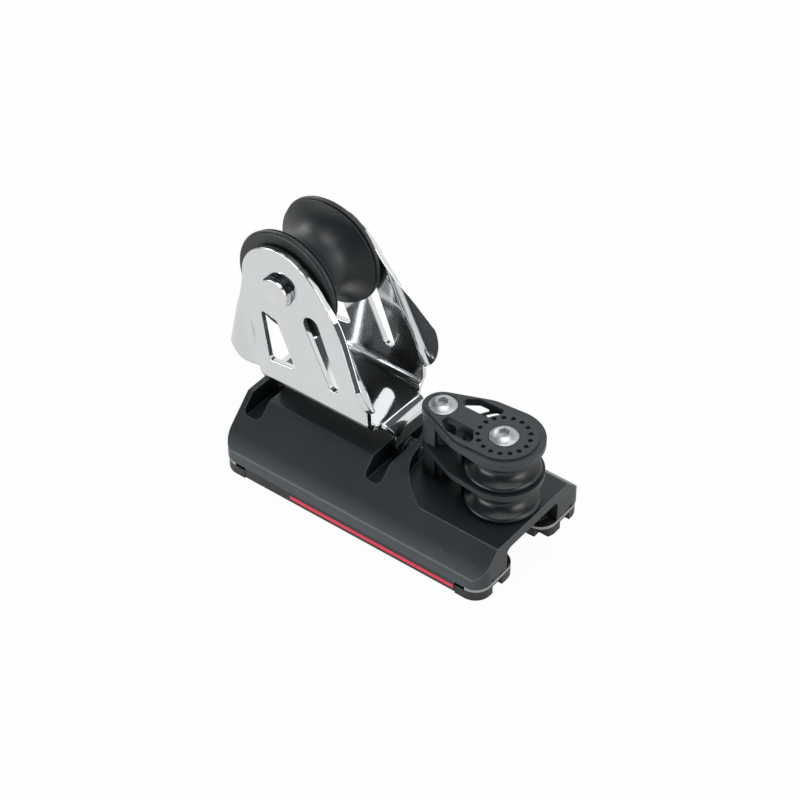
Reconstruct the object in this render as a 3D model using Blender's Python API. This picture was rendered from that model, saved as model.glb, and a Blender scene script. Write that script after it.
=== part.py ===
"""Adjustable track car: a sheave cage that leans on a ball-bearing car, with a double control block.

The car's length lies along X, with the control block at +X, and its feet are its lowest points.
Outlines are worked out in car coordinates, whose Z starts at the feet. The frame's origin is the
middle of the track channel's ceiling, where the car sits on its track.
"""

from math import acos, asin, atan2, cos, pi, radians, sin, sqrt, tan

import bmesh
import bpy
from mathutils import Matrix, Vector

MM = 0.001
GAP = 0.3 * MM  # what pieces that meet keep between them

# The car body: an extrusion with a channel for the track, milled from above.
CAR_LENGTH = 155 * MM
CAR_WIDTH = 83 * MM
LOBE_BOTTOM = 7.2 * MM
SIDE_TOP = 12.3 * MM
DECK_TOP = 26 * MM
RIDGE_TOP = 34.2 * MM
SIDE_ROUND = 2.2 * MM
RIDGE_ROUND = 2.4 * MM
CORNER_RADIUS = 8.5 * MM
CHANNEL_HALF = 20.2 * MM
CHANNEL_TOP = 20 * MM
CHANNEL_ROUND = 3 * MM
POCKET_FROM_FRONT = 36 * MM
POCKET_RADIUS = 29 * MM
SLOT_HALF_LENGTH = 27.5 * MM
SLOT_FLOOR = 23 * MM
REAR_EAR = 3 * MM
REAR_SLOT = 10.3 * MM
FRONT_EAR = 3.9 * MM
FRONT_SLOT = 9.6 * MM
END_RECESS_DEPTH = 1.4 * MM
END_RECESS_HEIGHT = 2.2 * MM

# The ball circuits under each lobe, with their caps, bands, trays and strips.
LIP_HALF = 10.9 * MM
BALL_RADIUS = 2.9 * MM
BALL_Z = 4 * MM
BALL_STRING = 0.9 * MM
BALL_COUNT = 34
LOADED_ROW = 15.2 * MM
RETURN_WALL = 5 * MM
RACE_HALF = 3.2 * MM
CAP_WALL = 3.5 * MM
CAP_INSET = 0.3 * MM
INNER_CORNER = 8.4 * MM
BAND_THICKNESS = 1.3 * MM
BAND_HEIGHT = 1.6 * MM
BAND_LENGTH = 8.7 * MM
STRIP_THICKNESS = 2.5 * MM
STRIP_LIFT = 0.5 * MM
FOOT_GAP_DEPTH = 2.8 * MM
FOOT_GAPS = ((25.5 * MM, 32 * MM, 4.4 * MM), (20.5 * MM, 25 * MM, 2.6 * MM))
CAP_SCREW_RADIUS = 1.5 * MM
CAP_SCREW_HEAD = 2.8 * MM
CAP_SCREW_LENGTH = 12 * MM

# The pin that the cage leans on, along the car through its ears and ridge.
PIN_RADIUS = 2.9 * MM
PIN_Z = 29.5 * MM
PIN_CHAMFER = 0.5 * MM
CLIP_THICKNESS = 1 * MM
WASHER_RADIUS = 4.6 * MM

# The cage: one folded sheet with a floor, two cheeks, four flared wings and two tabs.
SHEET = 3 * MM
CAGE_HALF = 22.5 * MM
CAGE_FLOOR_TOP = 50.8 * MM
FOLD_RADIUS = 7 * MM
AXLE_FROM_CHEEK = 13.3 * MM
AXLE_Z = 109.7 * MM
HEAD_RADIUS = 22 * MM
HEAD_X = -0.3 * MM
HEAD_Z = 0.4 * MM
BLEND_RADIUS = 42 * MM
FRONT_EDGE_REACH = 26.05 * MM
REAR_EDGE_LEAN = radians(9.3)
CHEEK_REAR_INSET = 2 * MM
CHEEK_FRONT_INSET = 10.4 * MM
CHEEK_TOE = 5.9 * MM
WING_WIDTH = 11 * MM
WING_FLARE = radians(45)
REAR_WING_SHOULDER = 0.7
FRONT_WING_SHOULDER = 0.6
REAR_WING_TOP = -2 * MM
REAR_WING_BOTTOM = -53 * MM
FRONT_WING_TOP = 5 * MM
FRONT_WING_BOTTOM = -47 * MM
TAB_HALF = 14 * MM
TAB_END_RADIUS = 5 * MM
FRONT_TAB_SPACE = 2.4 * MM
REAR_TAB_SPACE = 6.1 * MM
FRONT_TAB_BEND = 6.5 * MM
REAR_TAB_BEND = 5 * MM

# The main sheave on its axle, with rollers and thrust washers.
SHEAVE_RADIUS = 28.3 * MM
SHEAVE_THROAT = 17.4 * MM
SHEAVE_SIDE_GAP = 1.8 * MM
RIM_WIDTH = 3.2 * MM
RIM_GROOVE = 0.8 * MM
AXLE_RADIUS = 7.8 * MM
AXLE_STAND_OUT = 3.8 * MM
ROLLER_RING = 3 * MM
ROLLER_COUNT = 14
THRUST_RADIUS = 15 * MM
THRUST_THICKNESS = 2.2 * MM

# The control block: two sheaves between two moulded cheeks, screwed to the deck.
BLOCK_FROM_FRONT = 18 * MM
NOSE_REACH = 34.8 * MM
BLOCK_RADIUS = 19.4 * MM
NOSE_RADIUS = 10.2 * MM
WAIST_RADIUS = 18.1 * MM
WAIST_SHARE = 0.62
CONTROL_RADIUS = 18 * MM
CONTROL_THROAT = 12.6 * MM
CONTROL_WIDTH = 15 * MM
CONTROL_GAP = 0.5 * MM
BASE_WASHER = 1 * MM
BASE_WASHER_RIM = 5 * MM
MIDDLE_CHEEK = 3.1 * MM
TOP_CHEEK = 3.2 * MM
TOP_RAISE = 0.6 * MM
CHEEK_WALL = 2.6 * MM
NOSE_WALL_REACH = 5.3 * MM
GUARD_WALL = 2 * MM
GUARD_SPREAD = radians(40)
RING_RADIUS = 12.2 * MM
RING_HOLES = 17
RING_HOLE_RADIUS = 0.95 * MM
RING_HOLE_DEPTH = 1.6 * MM
SCREW_RADIUS = 3.9 * MM
SCREW_HEAD_RADIUS = 6.9 * MM
SCREW_HEAD = 4.2 * MM
SEAT_SINK = 0.2 * MM
SCREW_SOCKET = 2.5 * MM
SCREW_SOCKET_DEPTH = 2.4 * MM
HUB_WALL = 1 * MM
CONTROL_ROLLERS = 12
CONTROL_ROLLER_RING = 1.9 * MM

# What follows from them.
END = CAR_LENGTH / 2
SIDE = CAR_WIDTH / 2
SLOPE_SUM = SIDE + SIDE_TOP
STRIP_IN = SIDE - CAP_INSET - STRIP_THICKNESS
RETURN_ROW = STRIP_IN - GAP - RETURN_WALL - RACE_HALF
TURN_RADIUS = (RETURN_ROW - LOADED_ROW) / 2
CIRCUIT_Y = LOADED_ROW + TURN_RADIUS
CAP_START = END - CAP_INSET - CAP_WALL - RACE_HALF - TURN_RADIUS
REAR_SLOT_START = -END + REAR_EAR
RIDGE_START = REAR_SLOT_START + REAR_SLOT
POCKET_X = END - POCKET_FROM_FRONT
EAR_FACE = POCKET_X - POCKET_RADIUS
FRONT_SLOT_END = EAR_FACE - FRONT_EAR
FRONT_SLOT_START = FRONT_SLOT_END - FRONT_SLOT
FRONT_TAB_FACE = FRONT_SLOT_END - FRONT_TAB_SPACE
REAR_TAB_FACE = REAR_SLOT_START + REAR_TAB_SPACE
CHEEK_REAR_X = REAR_TAB_FACE + CHEEK_REAR_INSET
CHEEK_FRONT_X = FRONT_TAB_FACE - CHEEK_FRONT_INSET
AXLE_X = CHEEK_REAR_X + AXLE_FROM_CHEEK
BLOCK_X = END - BLOCK_FROM_FRONT
NOSE_X = BLOCK_X - NOSE_REACH
CHEEK_IN = CAGE_HALF - SHEET
SHEAVE_HALF = CHEEK_IN - SHEAVE_SIDE_GAP
SHEAVE_BORE = AXLE_RADIUS + ROLLER_RING + 2 * GAP
LOWER_SHEAVE_Z = DECK_TOP + GAP + BASE_WASHER + CONTROL_GAP
MIDDLE_Z = LOWER_SHEAVE_Z + CONTROL_WIDTH + CONTROL_GAP
UPPER_SHEAVE_Z = MIDDLE_Z + MIDDLE_CHEEK + CONTROL_GAP
TOP_Z = UPPER_SHEAVE_Z + CONTROL_WIDTH + CONTROL_GAP
HUB_RADIUS = SCREW_RADIUS + GAP + HUB_WALL
CONTROL_BORE = HUB_RADIUS + CONTROL_ROLLER_RING + 2 * GAP
SIDES = {"right": -1, "left": 1}
ENDS = {"front": 1, "rear": -1}


def empty_the_scene():
    for item in list(bpy.data.objects):
        bpy.data.objects.remove(item, do_unlink=True)


def finish(name, colour, roughness, metallic):
    made = bpy.data.materials.new(name)
    made.use_nodes = True
    shader = made.node_tree.nodes["Principled BSDF"]
    shader.inputs["Base Color"].default_value = (*colour, 1)
    shader.inputs["Roughness"].default_value = roughness
    shader.inputs["Metallic"].default_value = metallic
    made.diffuse_color = (*colour, 1)
    return made


def empty(name, place, parent=None):
    """An empty at a point in car coordinates. The frame's own empty brings them to the origin."""
    made = bpy.data.objects.new(name, None)
    bpy.context.collection.objects.link(made)
    made["car_place"] = [float(v) for v in place]
    made.parent = parent
    start = Vector(parent["car_place"]) if parent else Vector((0, 0, 0))
    made.location = Vector(place) - start
    return made


def add(name, work, parent, material=None, sharp=35):
    """Makes an object from bmesh geometry in car coordinates, with its origin on its parent's."""
    bmesh.ops.remove_doubles(work, verts=work.verts, dist=0.001 * MM)
    bmesh.ops.recalc_face_normals(work, faces=work.faces)
    mesh = bpy.data.meshes.new(name)
    work.to_mesh(mesh)
    work.free()
    mesh.transform(Matrix.Translation(-Vector(parent["car_place"])))
    mesh.shade_smooth()
    mesh.set_sharp_from_angle(angle=radians(sharp))
    made = bpy.data.objects.new(name, mesh)
    bpy.context.collection.objects.link(made)
    made.parent = parent
    if material:
        mesh.materials.append(material)
    else:
        made.hide_render = True
        made.display_type = "WIRE"
    return made


def joined(shapes):
    """Several shapes that don't touch, as the geometry of one cutter."""
    work = bmesh.new()
    for shape in shapes:
        copy = bpy.data.meshes.new("part_of_cutter")
        bmesh.ops.recalc_face_normals(shape, faces=shape.faces)
        shape.to_mesh(copy)
        shape.free()
        work.from_mesh(copy)
        bpy.data.meshes.remove(copy)
    return work


def rod(radius, low, high, place, steps, axis="Z"):
    """A plain cylinder along an axis, between two heights."""
    return turned([(0, low), (radius, low), (radius, high), (0, high)], place, axis, steps, False)


def boolean(item, tool, operation="DIFFERENCE"):
    step = item.modifiers.new(tool.name, "BOOLEAN")
    step.operation = operation
    step.solver = "EXACT"
    step.object = tool


def prism(outline, low, high, axis="Z"):
    """Extrudes a flat outline: (x, y) along Z, (y, z) along X, or (x, z) along Y."""
    order = {"Z": lambda a, b, c: (a, b, c), "X": lambda a, b, c: (c, a, b), "Y": lambda a, b, c: (a, c, b)}
    work = bmesh.new()
    bottom = [work.verts.new(order[axis](a, b, low)) for a, b in outline]
    top = [work.verts.new(order[axis](a, b, high)) for a, b in outline]
    work.faces.new(bottom)
    work.faces.new(top)
    for i, vert in enumerate(bottom):
        j = (i + 1) % len(bottom)
        work.faces.new((vert, bottom[j], top[j], top[i]))
    return work


def turned(profile, centre, axis="Z", steps=32, closed=True):
    """Turns a profile of (radius, height) about an axis. An open profile starts and ends on it."""
    place = {
        "Z": lambda u, v, h: (u, v, h),
        "Y": lambda u, v, h: (u, h, v),
        "X": lambda u, v, h: (h, u, v),
    }[axis]
    work = bmesh.new()
    rings = []
    for radius, height in profile:
        count = 1 if radius == 0 else steps
        angles = [2 * pi * i / steps for i in range(count)]
        points = [place(radius * cos(a), radius * sin(a), height) for a in angles]
        rings.append([work.verts.new(Vector(p) + Vector(centre)) for p in points])
    pairs = list(zip(rings, rings[1:]))
    if closed:
        pairs.append((rings[-1], rings[0]))
    for one, two in pairs:
        for i in range(steps):
            j = (i + 1) % steps
            corners = [one[i % len(one)], one[j % len(one)], two[j % len(two)], two[i % len(two)]]
            corners = list(dict.fromkeys(corners))
            if len(corners) > 2:
                work.faces.new(corners)
    return work


def ring(inner, outer, low, high):
    """The profile of a plain tube or washer."""
    return [(inner, low), (outer, low), (outer, high), (inner, high)]


def arc(centre, radius, start, stop, steps):
    """Points on an arc, with the angles in radians."""
    angles = [start + (stop - start) * i / steps for i in range(steps + 1)]
    return [(centre[0] + radius * cos(a), centre[1] + radius * sin(a)) for a in angles]


def rounded(corners, radius, steps=4):
    """A closed outline with every corner rounded; radius is one value or one for each corner."""
    points = []
    count = len(corners)
    radii = radius if isinstance(radius, (list, tuple)) else [radius] * count
    for i, corner in enumerate(corners):
        here = Vector(corner)
        back = (Vector(corners[i - 1]) - here).normalized()
        ahead = (Vector(corners[(i + 1) % count]) - here).normalized()
        if radii[i] == 0:
            points.append(tuple(here))
            continue
        half = back.angle(ahead) / 2
        middle = here + (back + ahead).normalized() * radii[i] / sin(half)
        first = here + back * radii[i] / tan(half) - middle
        last = here + ahead * radii[i] / tan(half) - middle
        sweep = first.angle(last)
        turn = 1 if first.x * last.y - first.y * last.x > 0 else -1
        start = atan2(first.y, first.x)
        points += arc(middle, radii[i], start, start + turn * sweep, steps)
    return points


def capsule(start, start_radius, stop, stop_radius, steps=5):
    """The outline of a tapered slot between two circles."""
    run = Vector(stop) - Vector(start)
    lean = asin((start_radius - stop_radius) / run.length)
    heading = atan2(run.y, run.x)
    side = pi / 2 - lean
    first = arc(start, start_radius, heading + side, heading + 2 * pi - side, steps + 1)
    return first + arc(stop, stop_radius, heading - side, heading + side, steps)


def body_section():
    """Half of the body's section at +Y from the ridge down to the channel, then mirrored."""
    side_bend = SIDE_ROUND * tan(radians(22.5))
    ridge_half = SLOPE_SUM - RIDGE_TOP
    ridge_bend = RIDGE_ROUND * tan(radians(22.5))
    ridge = (ridge_half - ridge_bend, RIDGE_TOP - RIDGE_ROUND)
    shoulder = (SIDE - SIDE_ROUND, SIDE_TOP - side_bend)
    half = arc(ridge, RIDGE_ROUND, radians(90), radians(45), 3)
    half += arc(shoulder, SIDE_ROUND, radians(45), 0, 3)
    half += [(SIDE, LOBE_BOTTOM), (CHANNEL_HALF, LOBE_BOTTOM)]
    inner = (CHANNEL_HALF - CHANNEL_ROUND, CHANNEL_TOP - CHANNEL_ROUND)
    half += arc(inner, CHANNEL_ROUND, 0, radians(90), 3)
    return half + [(-y, z) for y, z in reversed(half)]


def slot(start, width):
    """A slot milled down across the ridge, with round ends in plan."""
    radius = width / 2
    middle = start + radius
    reach = SLOT_HALF_LENGTH - radius
    outline = capsule((middle, -reach), radius, (middle, reach), radius, 7)
    return prism(outline, SLOT_FLOOR, RIDGE_TOP + 5 * MM)


def car_body(parent, black):
    body = add("car_body", prism(body_section(), -END, END, "X"), parent, black)
    past = END + 5 * MM
    pocket = arc((POCKET_X, 0), POCKET_RADIUS, radians(90), radians(270), 26)
    pocket += [(past, -POCKET_RADIUS), (past, POCKET_RADIUS)]
    milling = [prism(pocket, DECK_TOP, RIDGE_TOP * 2)]
    milling += [slot(REAR_SLOT_START, REAR_SLOT), slot(FRONT_SLOT_START, FRONT_SLOT)]
    boolean(body, add("milling_tool", joined(milling), parent))
    corners = [(-END, -SIDE), (END, -SIDE), (END, SIDE), (-END, SIDE)]
    plan = add("plan_tool", prism(rounded(corners, CORNER_RADIUS, 5), 0, RIDGE_TOP * 2), parent)
    boolean(body, plan, "INTERSECT")
    drilling = [rod(PIN_RADIUS + GAP, -past, EAR_FACE + 3 * MM, (0, 0, PIN_Z), 18, "X")]
    for x in (BLOCK_X, NOSE_X):
        drilling.append(rod(SCREW_RADIUS + GAP, CHANNEL_TOP - MM, DECK_TOP + MM, (x, 0, 0), 16))
    for along in ENDS.values():
        for across in SIDES.values():
            x, y = cap_screw_place(along, across)
            top = CAP_SCREW_LENGTH + 1.2 * MM
            drilling.append(rod(CAP_SCREW_RADIUS + GAP, 0, top, (x, y, 0), 8))
            drilling.append(end_recess(along, across))
    boolean(body, add("drilling_tool", joined(drilling), parent))
    return body


def end_recess(along, across):
    """The shallow L-shaped recess in the body's end face, just above the band."""
    low = LOBE_BOTTOM - MM
    step = CIRCUIT_Y
    outer = RETURN_ROW + 2 * MM
    high = LOBE_BOTTOM + END_RECESS_HEIGHT
    shape = [(step, low), (outer, low), (outer, high), (outer - 2 * MM, high)]
    shape += [(outer - 2 * MM, high - 1.2 * MM), (step, high - 1.2 * MM)]
    shape = [(across * y, z) for y, z in shape]
    near, far = along * (END - END_RECESS_DEPTH), along * (END + 2 * MM)
    return prism(shape, min(near, far), max(near, far), "X")


def cap_screw_place(along, across):
    """In the cap's outer corner, clear of the ball turn."""
    return along * (END - CORNER_RADIUS), across * (SIDE - CORNER_RADIUS / 2)


def cap_outline(along, across, inset, start=CAP_START):
    """An end cap's plan, with a round corner at the car's corner and one by the track."""
    out = END - CAP_INSET - inset
    low, high = LIP_HALF + inset, SIDE - CAP_INSET - inset
    corners = [(start, low), (out, low), (out, high), (start, high)]
    radii = [0, INNER_CORNER - inset, CORNER_RADIUS - inset, 0]
    return [(along * x, across * y) for x, y in rounded(corners, radii, 4)]


def race_path(along, across, radius, reverse=False):
    """Half a turn about the circuit's end, from the return row to the loaded row."""
    points = arc((CAP_START, CIRCUIT_Y), radius, radians(90), radians(-90), 7)
    points = [(along * x, across * y) for x, y in points]
    return points[::-1] if reverse else points


def end_cap(name, along, across, parent, black):
    seat = LOBE_BOTTOM - GAP - BAND_HEIGHT - GAP / 2
    top = LOBE_BOTTOM - GAP
    cap = add(name, prism(cap_outline(along, across, 0), 0, seat), parent, black)
    rise = cap_outline(along, across, BAND_THICKNESS + GAP)
    boolean(cap, add(name + "_rise_tool", prism(rise, seat - MM, top), parent), "UNION")
    back = along * (CAP_START - MM)
    outer = race_path(along, across, TURN_RADIUS + RACE_HALF)
    inner = race_path(along, across, TURN_RADIUS - RACE_HALF, True)
    loaded = [(back, outer[-1][1]), (back, inner[0][1])]
    returning = [(back, inner[-1][1]), (back, outer[0][1])]
    race = outer + loaded + inner + returning
    floor = BALL_Z - BALL_RADIUS - GAP
    cuts = [prism(race, floor, top + MM)]
    for low, high, rise in FOOT_GAPS:
        end, past = along * (END - CAP_INSET - FOOT_GAP_DEPTH), along * (END + MM)
        notch = [(end, across * low), (past, across * low), (past, across * high), (end, across * high)]
        cuts.append(prism(notch, -MM, rise))
    x, y = cap_screw_place(along, across)
    radius = CAP_SCREW_RADIUS + GAP
    sink = CAP_SCREW_HEAD + GAP
    hole = [(0, -MM), (sink, -MM), (sink, 1.2 * MM), (radius, 3 * MM), (radius, 8 * MM), (0, 8 * MM)]
    cuts.append(turned(hole, (x, y, 0), "Z", 10, False))
    boolean(cap, add(name + "_cut_tool", joined(cuts), parent))
    return cap


def ball_band(name, along, across, parent, steel):
    """The steel band that wraps the outside of the ball turn, on the cap's step."""
    start = END - CAP_INSET - BAND_LENGTH
    outer = cap_outline(along, across, 0, start)
    inner = cap_outline(along, across, BAND_THICKNESS, start)
    top = LOBE_BOTTOM - GAP
    return add(name, prism(outer + inner[::-1], top - BAND_HEIGHT, top), parent, steel)


def cap_screw(name, along, across, parent, steel):
    x, y = cap_screw_place(along, across)
    low = 0.4 * MM
    outline = [(0, low), (CAP_SCREW_HEAD, low), (CAP_SCREW_HEAD, low + 0.6 * MM)]
    outline += [(CAP_SCREW_RADIUS, low + 2.2 * MM), (CAP_SCREW_RADIUS, CAP_SCREW_LENGTH)]
    outline += [(0, CAP_SCREW_LENGTH)]
    return add(name, turned(outline, (x, y, 0), "Z", 8, False), parent, steel)


def ball_tray(name, across, parent, black):
    """The tray that holds both straight ball rows, open above."""
    low, top = STRIP_LIFT, LOBE_BOTTOM - GAP
    wall = STRIP_IN - GAP
    section = [(LIP_HALF, low), (wall, low), (wall, top)]
    for row in (RETURN_ROW, LOADED_ROW):
        section += [(row + RACE_HALF, top)]
        section += arc((row, BALL_Z), RACE_HALF, 0, -pi, 6)
        section += [(row - RACE_HALF, top)]
    section += [(LIP_HALF, top)]
    section = [(across * y, z) for y, z in section]
    reach = CAP_START - GAP
    return add(name, prism(section, -reach, reach, "X"), parent, black)


def side_strip(name, across, parent, black):
    corners = [(STRIP_IN, STRIP_LIFT), (SIDE - CAP_INSET, STRIP_LIFT)]
    corners += [(SIDE - CAP_INSET, LOBE_BOTTOM - GAP), (STRIP_IN, LOBE_BOTTOM - GAP)]
    section = [(across * y, z) for y, z in rounded(corners, [0, 0.5 * MM, 0.5 * MM, 0], 2)]
    reach = CAP_START - GAP
    return add(name, prism(section, -reach, reach, "X"), parent, black)


def circuit(s):
    """A point and heading on the ball circuit, at a distance s along it from the loaded row's middle."""
    straight = 2 * CAP_START
    turn = pi * TURN_RADIUS
    s = s % (2 * straight + 2 * turn)
    if s < straight:
        return (-CAP_START + s, LOADED_ROW), 0
    s -= straight
    if s < turn:
        angle = s / TURN_RADIUS
        return (CAP_START + TURN_RADIUS * sin(angle), CIRCUIT_Y - TURN_RADIUS * cos(angle)), angle
    s -= turn
    if s < straight:
        return (CAP_START - s, RETURN_ROW), pi
    angle = (s - straight) / TURN_RADIUS
    return (-CAP_START - TURN_RADIUS * sin(angle), CIRCUIT_Y + TURN_RADIUS * cos(angle)), pi + angle


def ball_train(name, across, parent, white, sides=5):
    """The balls of one circuit, strung on their spacer cord as one closed train."""
    total = 4 * CAP_START + 2 * pi * TURN_RADIUS
    pitch = total / BALL_COUNT
    neck = sqrt(BALL_RADIUS**2 - BALL_STRING**2)
    beads = [(-neck, BALL_STRING)]
    beads += [(BALL_RADIUS * sin(a), BALL_RADIUS * cos(a)) for a in (radians(-32), radians(32))]
    beads += [(neck, BALL_STRING)]
    work = bmesh.new()
    rings = []
    for ball in range(BALL_COUNT):
        for offset, radius in beads:
            (x, y), heading = circuit(ball * pitch + offset)
            out = Vector((-sin(heading), cos(heading), 0))
            centre = Vector((x, y, BALL_Z))
            points = []
            for i in range(sides):
                a = 2 * pi * (i + 0.5) / sides
                p = centre + out * radius * cos(a) + Vector((0, 0, radius * sin(a)))
                points.append(work.verts.new((p.x, across * p.y, p.z)))
            rings.append(points)
    for one, two in zip(rings, rings[1:] + rings[:1]):
        for i in range(sides):
            j = (i + 1) % sides
            work.faces.new((one[i], one[j], two[j], two[i]))
    return add(name, work, parent, white, 60)


def pivot_parts(parent, steel, nylon):
    """The pin, its clip in the rear slot, and the washers beside the cage's tabs."""
    rear, front = -END + GAP, EAR_FACE - GAP
    outline = [(0, rear), (PIN_RADIUS - PIN_CHAMFER, rear), (PIN_RADIUS, rear + PIN_CHAMFER)]
    outline += [(PIN_RADIUS, front - PIN_CHAMFER), (PIN_RADIUS - PIN_CHAMFER, front), (0, front)]
    add("pivot_pin", turned(outline, (0, 0, PIN_Z), "X", 18, False), parent, steel)
    bore = PIN_RADIUS + GAP / 2
    front_tab_back = FRONT_TAB_FACE - SHEET
    rear_tab_front = REAR_TAB_FACE + SHEET
    spans = {
        "pivot_clip": (REAR_SLOT_START + GAP, REAR_SLOT_START + GAP + CLIP_THICKNESS, steel),
        "rear_outer_washer": (REAR_SLOT_START + 2 * GAP + CLIP_THICKNESS, REAR_TAB_FACE - GAP, nylon),
        "rear_inner_washer": (rear_tab_front + GAP, RIDGE_START - GAP, nylon),
        "front_inner_washer": (FRONT_SLOT_START + GAP, front_tab_back - GAP, nylon),
        "front_outer_washer": (FRONT_TAB_FACE + GAP, FRONT_SLOT_END - GAP, nylon),
    }
    for name, (low, high, material) in spans.items():
        add(name, turned(ring(bore, WASHER_RADIUS, low, high), (0, 0, PIN_Z), "X", 16), parent, material)


def front_edge(z):
    """Where the cheek ends towards the block, at a height from the axle: head arc, blend and line."""
    lean = front_lean()
    tip = (HEAD_X, HEAD_Z)
    meet = lean + acos((BLEND_RADIUS - FRONT_EDGE_REACH) / (BLEND_RADIUS - HEAD_RADIUS))
    inward = HEAD_RADIUS - BLEND_RADIUS
    blend = (tip[0] + inward * cos(meet), tip[1] + inward * sin(meet))
    if z > blend[1] + BLEND_RADIUS * sin(meet):
        return tip[0] + sqrt(max(HEAD_RADIUS**2 - (z - tip[1]) ** 2, 0))
    if z > blend[1] + BLEND_RADIUS * sin(lean):
        return blend[0] + sqrt(BLEND_RADIUS**2 - (z - blend[1]) ** 2)
    return tip[0] + (FRONT_EDGE_REACH - (z - tip[1]) * sin(lean)) / cos(lean)


def fold_level():
    """The height, from the axle, where the cheeks end and the folds begin."""
    return CAGE_FLOOR_TOP - SHEET + FOLD_RADIUS - AXLE_Z


def front_lean():
    """How far the front edge leans, to pass the head's centre at its reach and end at the corner."""
    corner = CHEEK_FRONT_X + CHEEK_TOE - AXLE_X
    run, rise = corner - HEAD_X, fold_level() - HEAD_Z
    return atan2(rise, run) + acos(FRONT_EDGE_REACH / sqrt(run**2 + rise**2))


def rear_edge(z):
    """Where the cheek ends behind the axle: the head arc, then a line that leans forward."""
    flat = HEAD_Z + HEAD_RADIUS * sin(-REAR_EDGE_LEAN)
    if z > flat:
        return HEAD_X - sqrt(max(HEAD_RADIUS**2 - (z - HEAD_Z) ** 2, 0))
    return HEAD_X - HEAD_RADIUS * cos(REAR_EDGE_LEAN) + (flat - z) * tan(REAR_EDGE_LEAN)


def wing_width(z, top, bottom, shoulder):
    """The leaf shape of a wing: straight out to its shoulder, then round to its lower end."""
    share = (top - z) / (top - bottom)
    least = 0.5 * MM
    if share <= 0 or share >= 1:
        return least
    if share < shoulder:
        return max(WING_WIDTH * share / shoulder, least)
    fall = (share - shoulder) / (1 - shoulder)
    return max(WING_WIDTH * sqrt(1 - fall**2), least)


def cheek_row(z, y_out):
    """One level of a cheek, from its rear wing's edge to its front wing's edge.

    The points are (x, how far out of the cheek's plane), for a height from the axle.
    """
    rear, front = rear_edge(z), front_edge(z)
    soft = 1 * MM
    flare = (cos(WING_FLARE), sin(WING_FLARE))
    back = wing_width(z, REAR_WING_TOP, REAR_WING_BOTTOM, REAR_WING_SHOULDER)
    fore = wing_width(z, FRONT_WING_TOP, FRONT_WING_BOTTOM, FRONT_WING_SHOULDER)
    bent_back = 1 if REAR_WING_BOTTOM < z < REAR_WING_TOP else 0
    bent_fore = 1 if FRONT_WING_BOTTOM < z < FRONT_WING_TOP else 0
    row = []
    for share in (1, 0.1):
        out = back * share
        row.append((rear - out * (flare[0] if bent_back else 1) * bent_back, out * flare[1] * bent_back))
    inner_rear, inner_front = rear + soft, front - soft
    if not bent_back:
        row = [(rear + soft * share, 0) for share in (0, 0.5)]
    row += [(inner_rear + (inner_front - inner_rear) * i / 2, 0) for i in range(3)]
    if bent_fore:
        row += [(front + fore * share * flare[0], fore * share * flare[1]) for share in (0.1, 1)]
    else:
        row += [(front - soft * share, 0) for share in (0.5, 0)]
    return [(x, y_out + out) for x, out in row]


def cheek_levels():
    """Heights of the cheek's rows from the axle, closer together round the head and the wing ends."""
    head = [HEAD_Z + HEAD_RADIUS * sin(radians(a)) for a in (84, 72, 60, 47, 33, 18, 4)]
    shoulder = REAR_WING_TOP + (REAR_WING_BOTTOM - REAR_WING_TOP) * REAR_WING_SHOULDER
    upper = [REAR_WING_TOP + (shoulder - REAR_WING_TOP) * share for share in (0.04, 0.3, 0.55, 0.8, 1)]
    lower = [shoulder + (REAR_WING_BOTTOM - shoulder) * share for share in (0.35, 0.6, 0.8, 0.93)]
    return head + upper + lower + [fold_level()]


def sheave_cage(parent, steel):
    """The folded sheet as one grid of rows: right cheek, fold, floor with its tabs, fold, left cheek."""
    middle = CAGE_HALF - SHEET / 2
    fold = FOLD_RADIUS - SHEET / 2
    floor = CAGE_FLOOR_TOP - SHEET / 2
    rows = []
    for z in cheek_levels():
        rows.append([(AXLE_X + x, -y, AXLE_Z + z) for x, y in cheek_row(z, middle)])
    columns = len(rows[0])
    front_end = FRONT_TAB_FACE - SHEET / 2 - FRONT_TAB_BEND + SHEET / 2
    rear_end = REAR_TAB_FACE + SHEET / 2 + REAR_TAB_BEND - SHEET / 2

    def spread(low, high, y, z):
        return [(low + (high - low) * i / (columns - 1), y, z) for i in range(columns)]

    for a in (30, 60, 90):
        y = middle - fold + fold * cos(radians(a))
        z = floor + fold - fold * sin(radians(a))
        rows.append(spread(CHEEK_REAR_X, CHEEK_FRONT_X, -y, z))
    tab_rows = [TAB_HALF * share for share in (-1, -0.72, -0.38, 0, 0.38, 0.72, 1)]
    first_tab = len(rows)
    for y in tab_rows:
        rows.append(spread(rear_end, front_end, y, floor))
    rows += [[(x, -y, z) for x, y, z in row] for row in reversed(rows[:first_tab])]

    work = bmesh.new()
    grid = [[work.verts.new(p) for p in row] for row in rows]
    stitch(work, grid)
    for column, end, bend, face in (
        (columns - 1, front_end, FRONT_TAB_BEND - SHEET / 2, FRONT_TAB_FACE - SHEET / 2),
        (0, rear_end, -(REAR_TAB_BEND - SHEET / 2), REAR_TAB_FACE + SHEET / 2),
    ):
        edge = [grid[first_tab + i][column] for i in range(len(tab_rows))]
        strip = [edge]
        for x, z, half, droop in tab_stations(end, bend, face, floor):
            points = []
            for y in tab_rows:
                lift = 1 - sqrt(max(1 - (y / TAB_HALF) ** 2, 0))
                points.append(work.verts.new((x, y / TAB_HALF * half, z + droop * lift)))
            strip.append(points)
        stitch(work, strip)
    cage = add("sheave_cage", work, parent, steel, 30)
    thick = cage.modifiers.new("sheet", "SOLIDIFY")
    thick.thickness = SHEET
    thick.offset = 0
    thick.use_even_offset = False
    cut_cage(cage, parent)
    return cage


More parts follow.
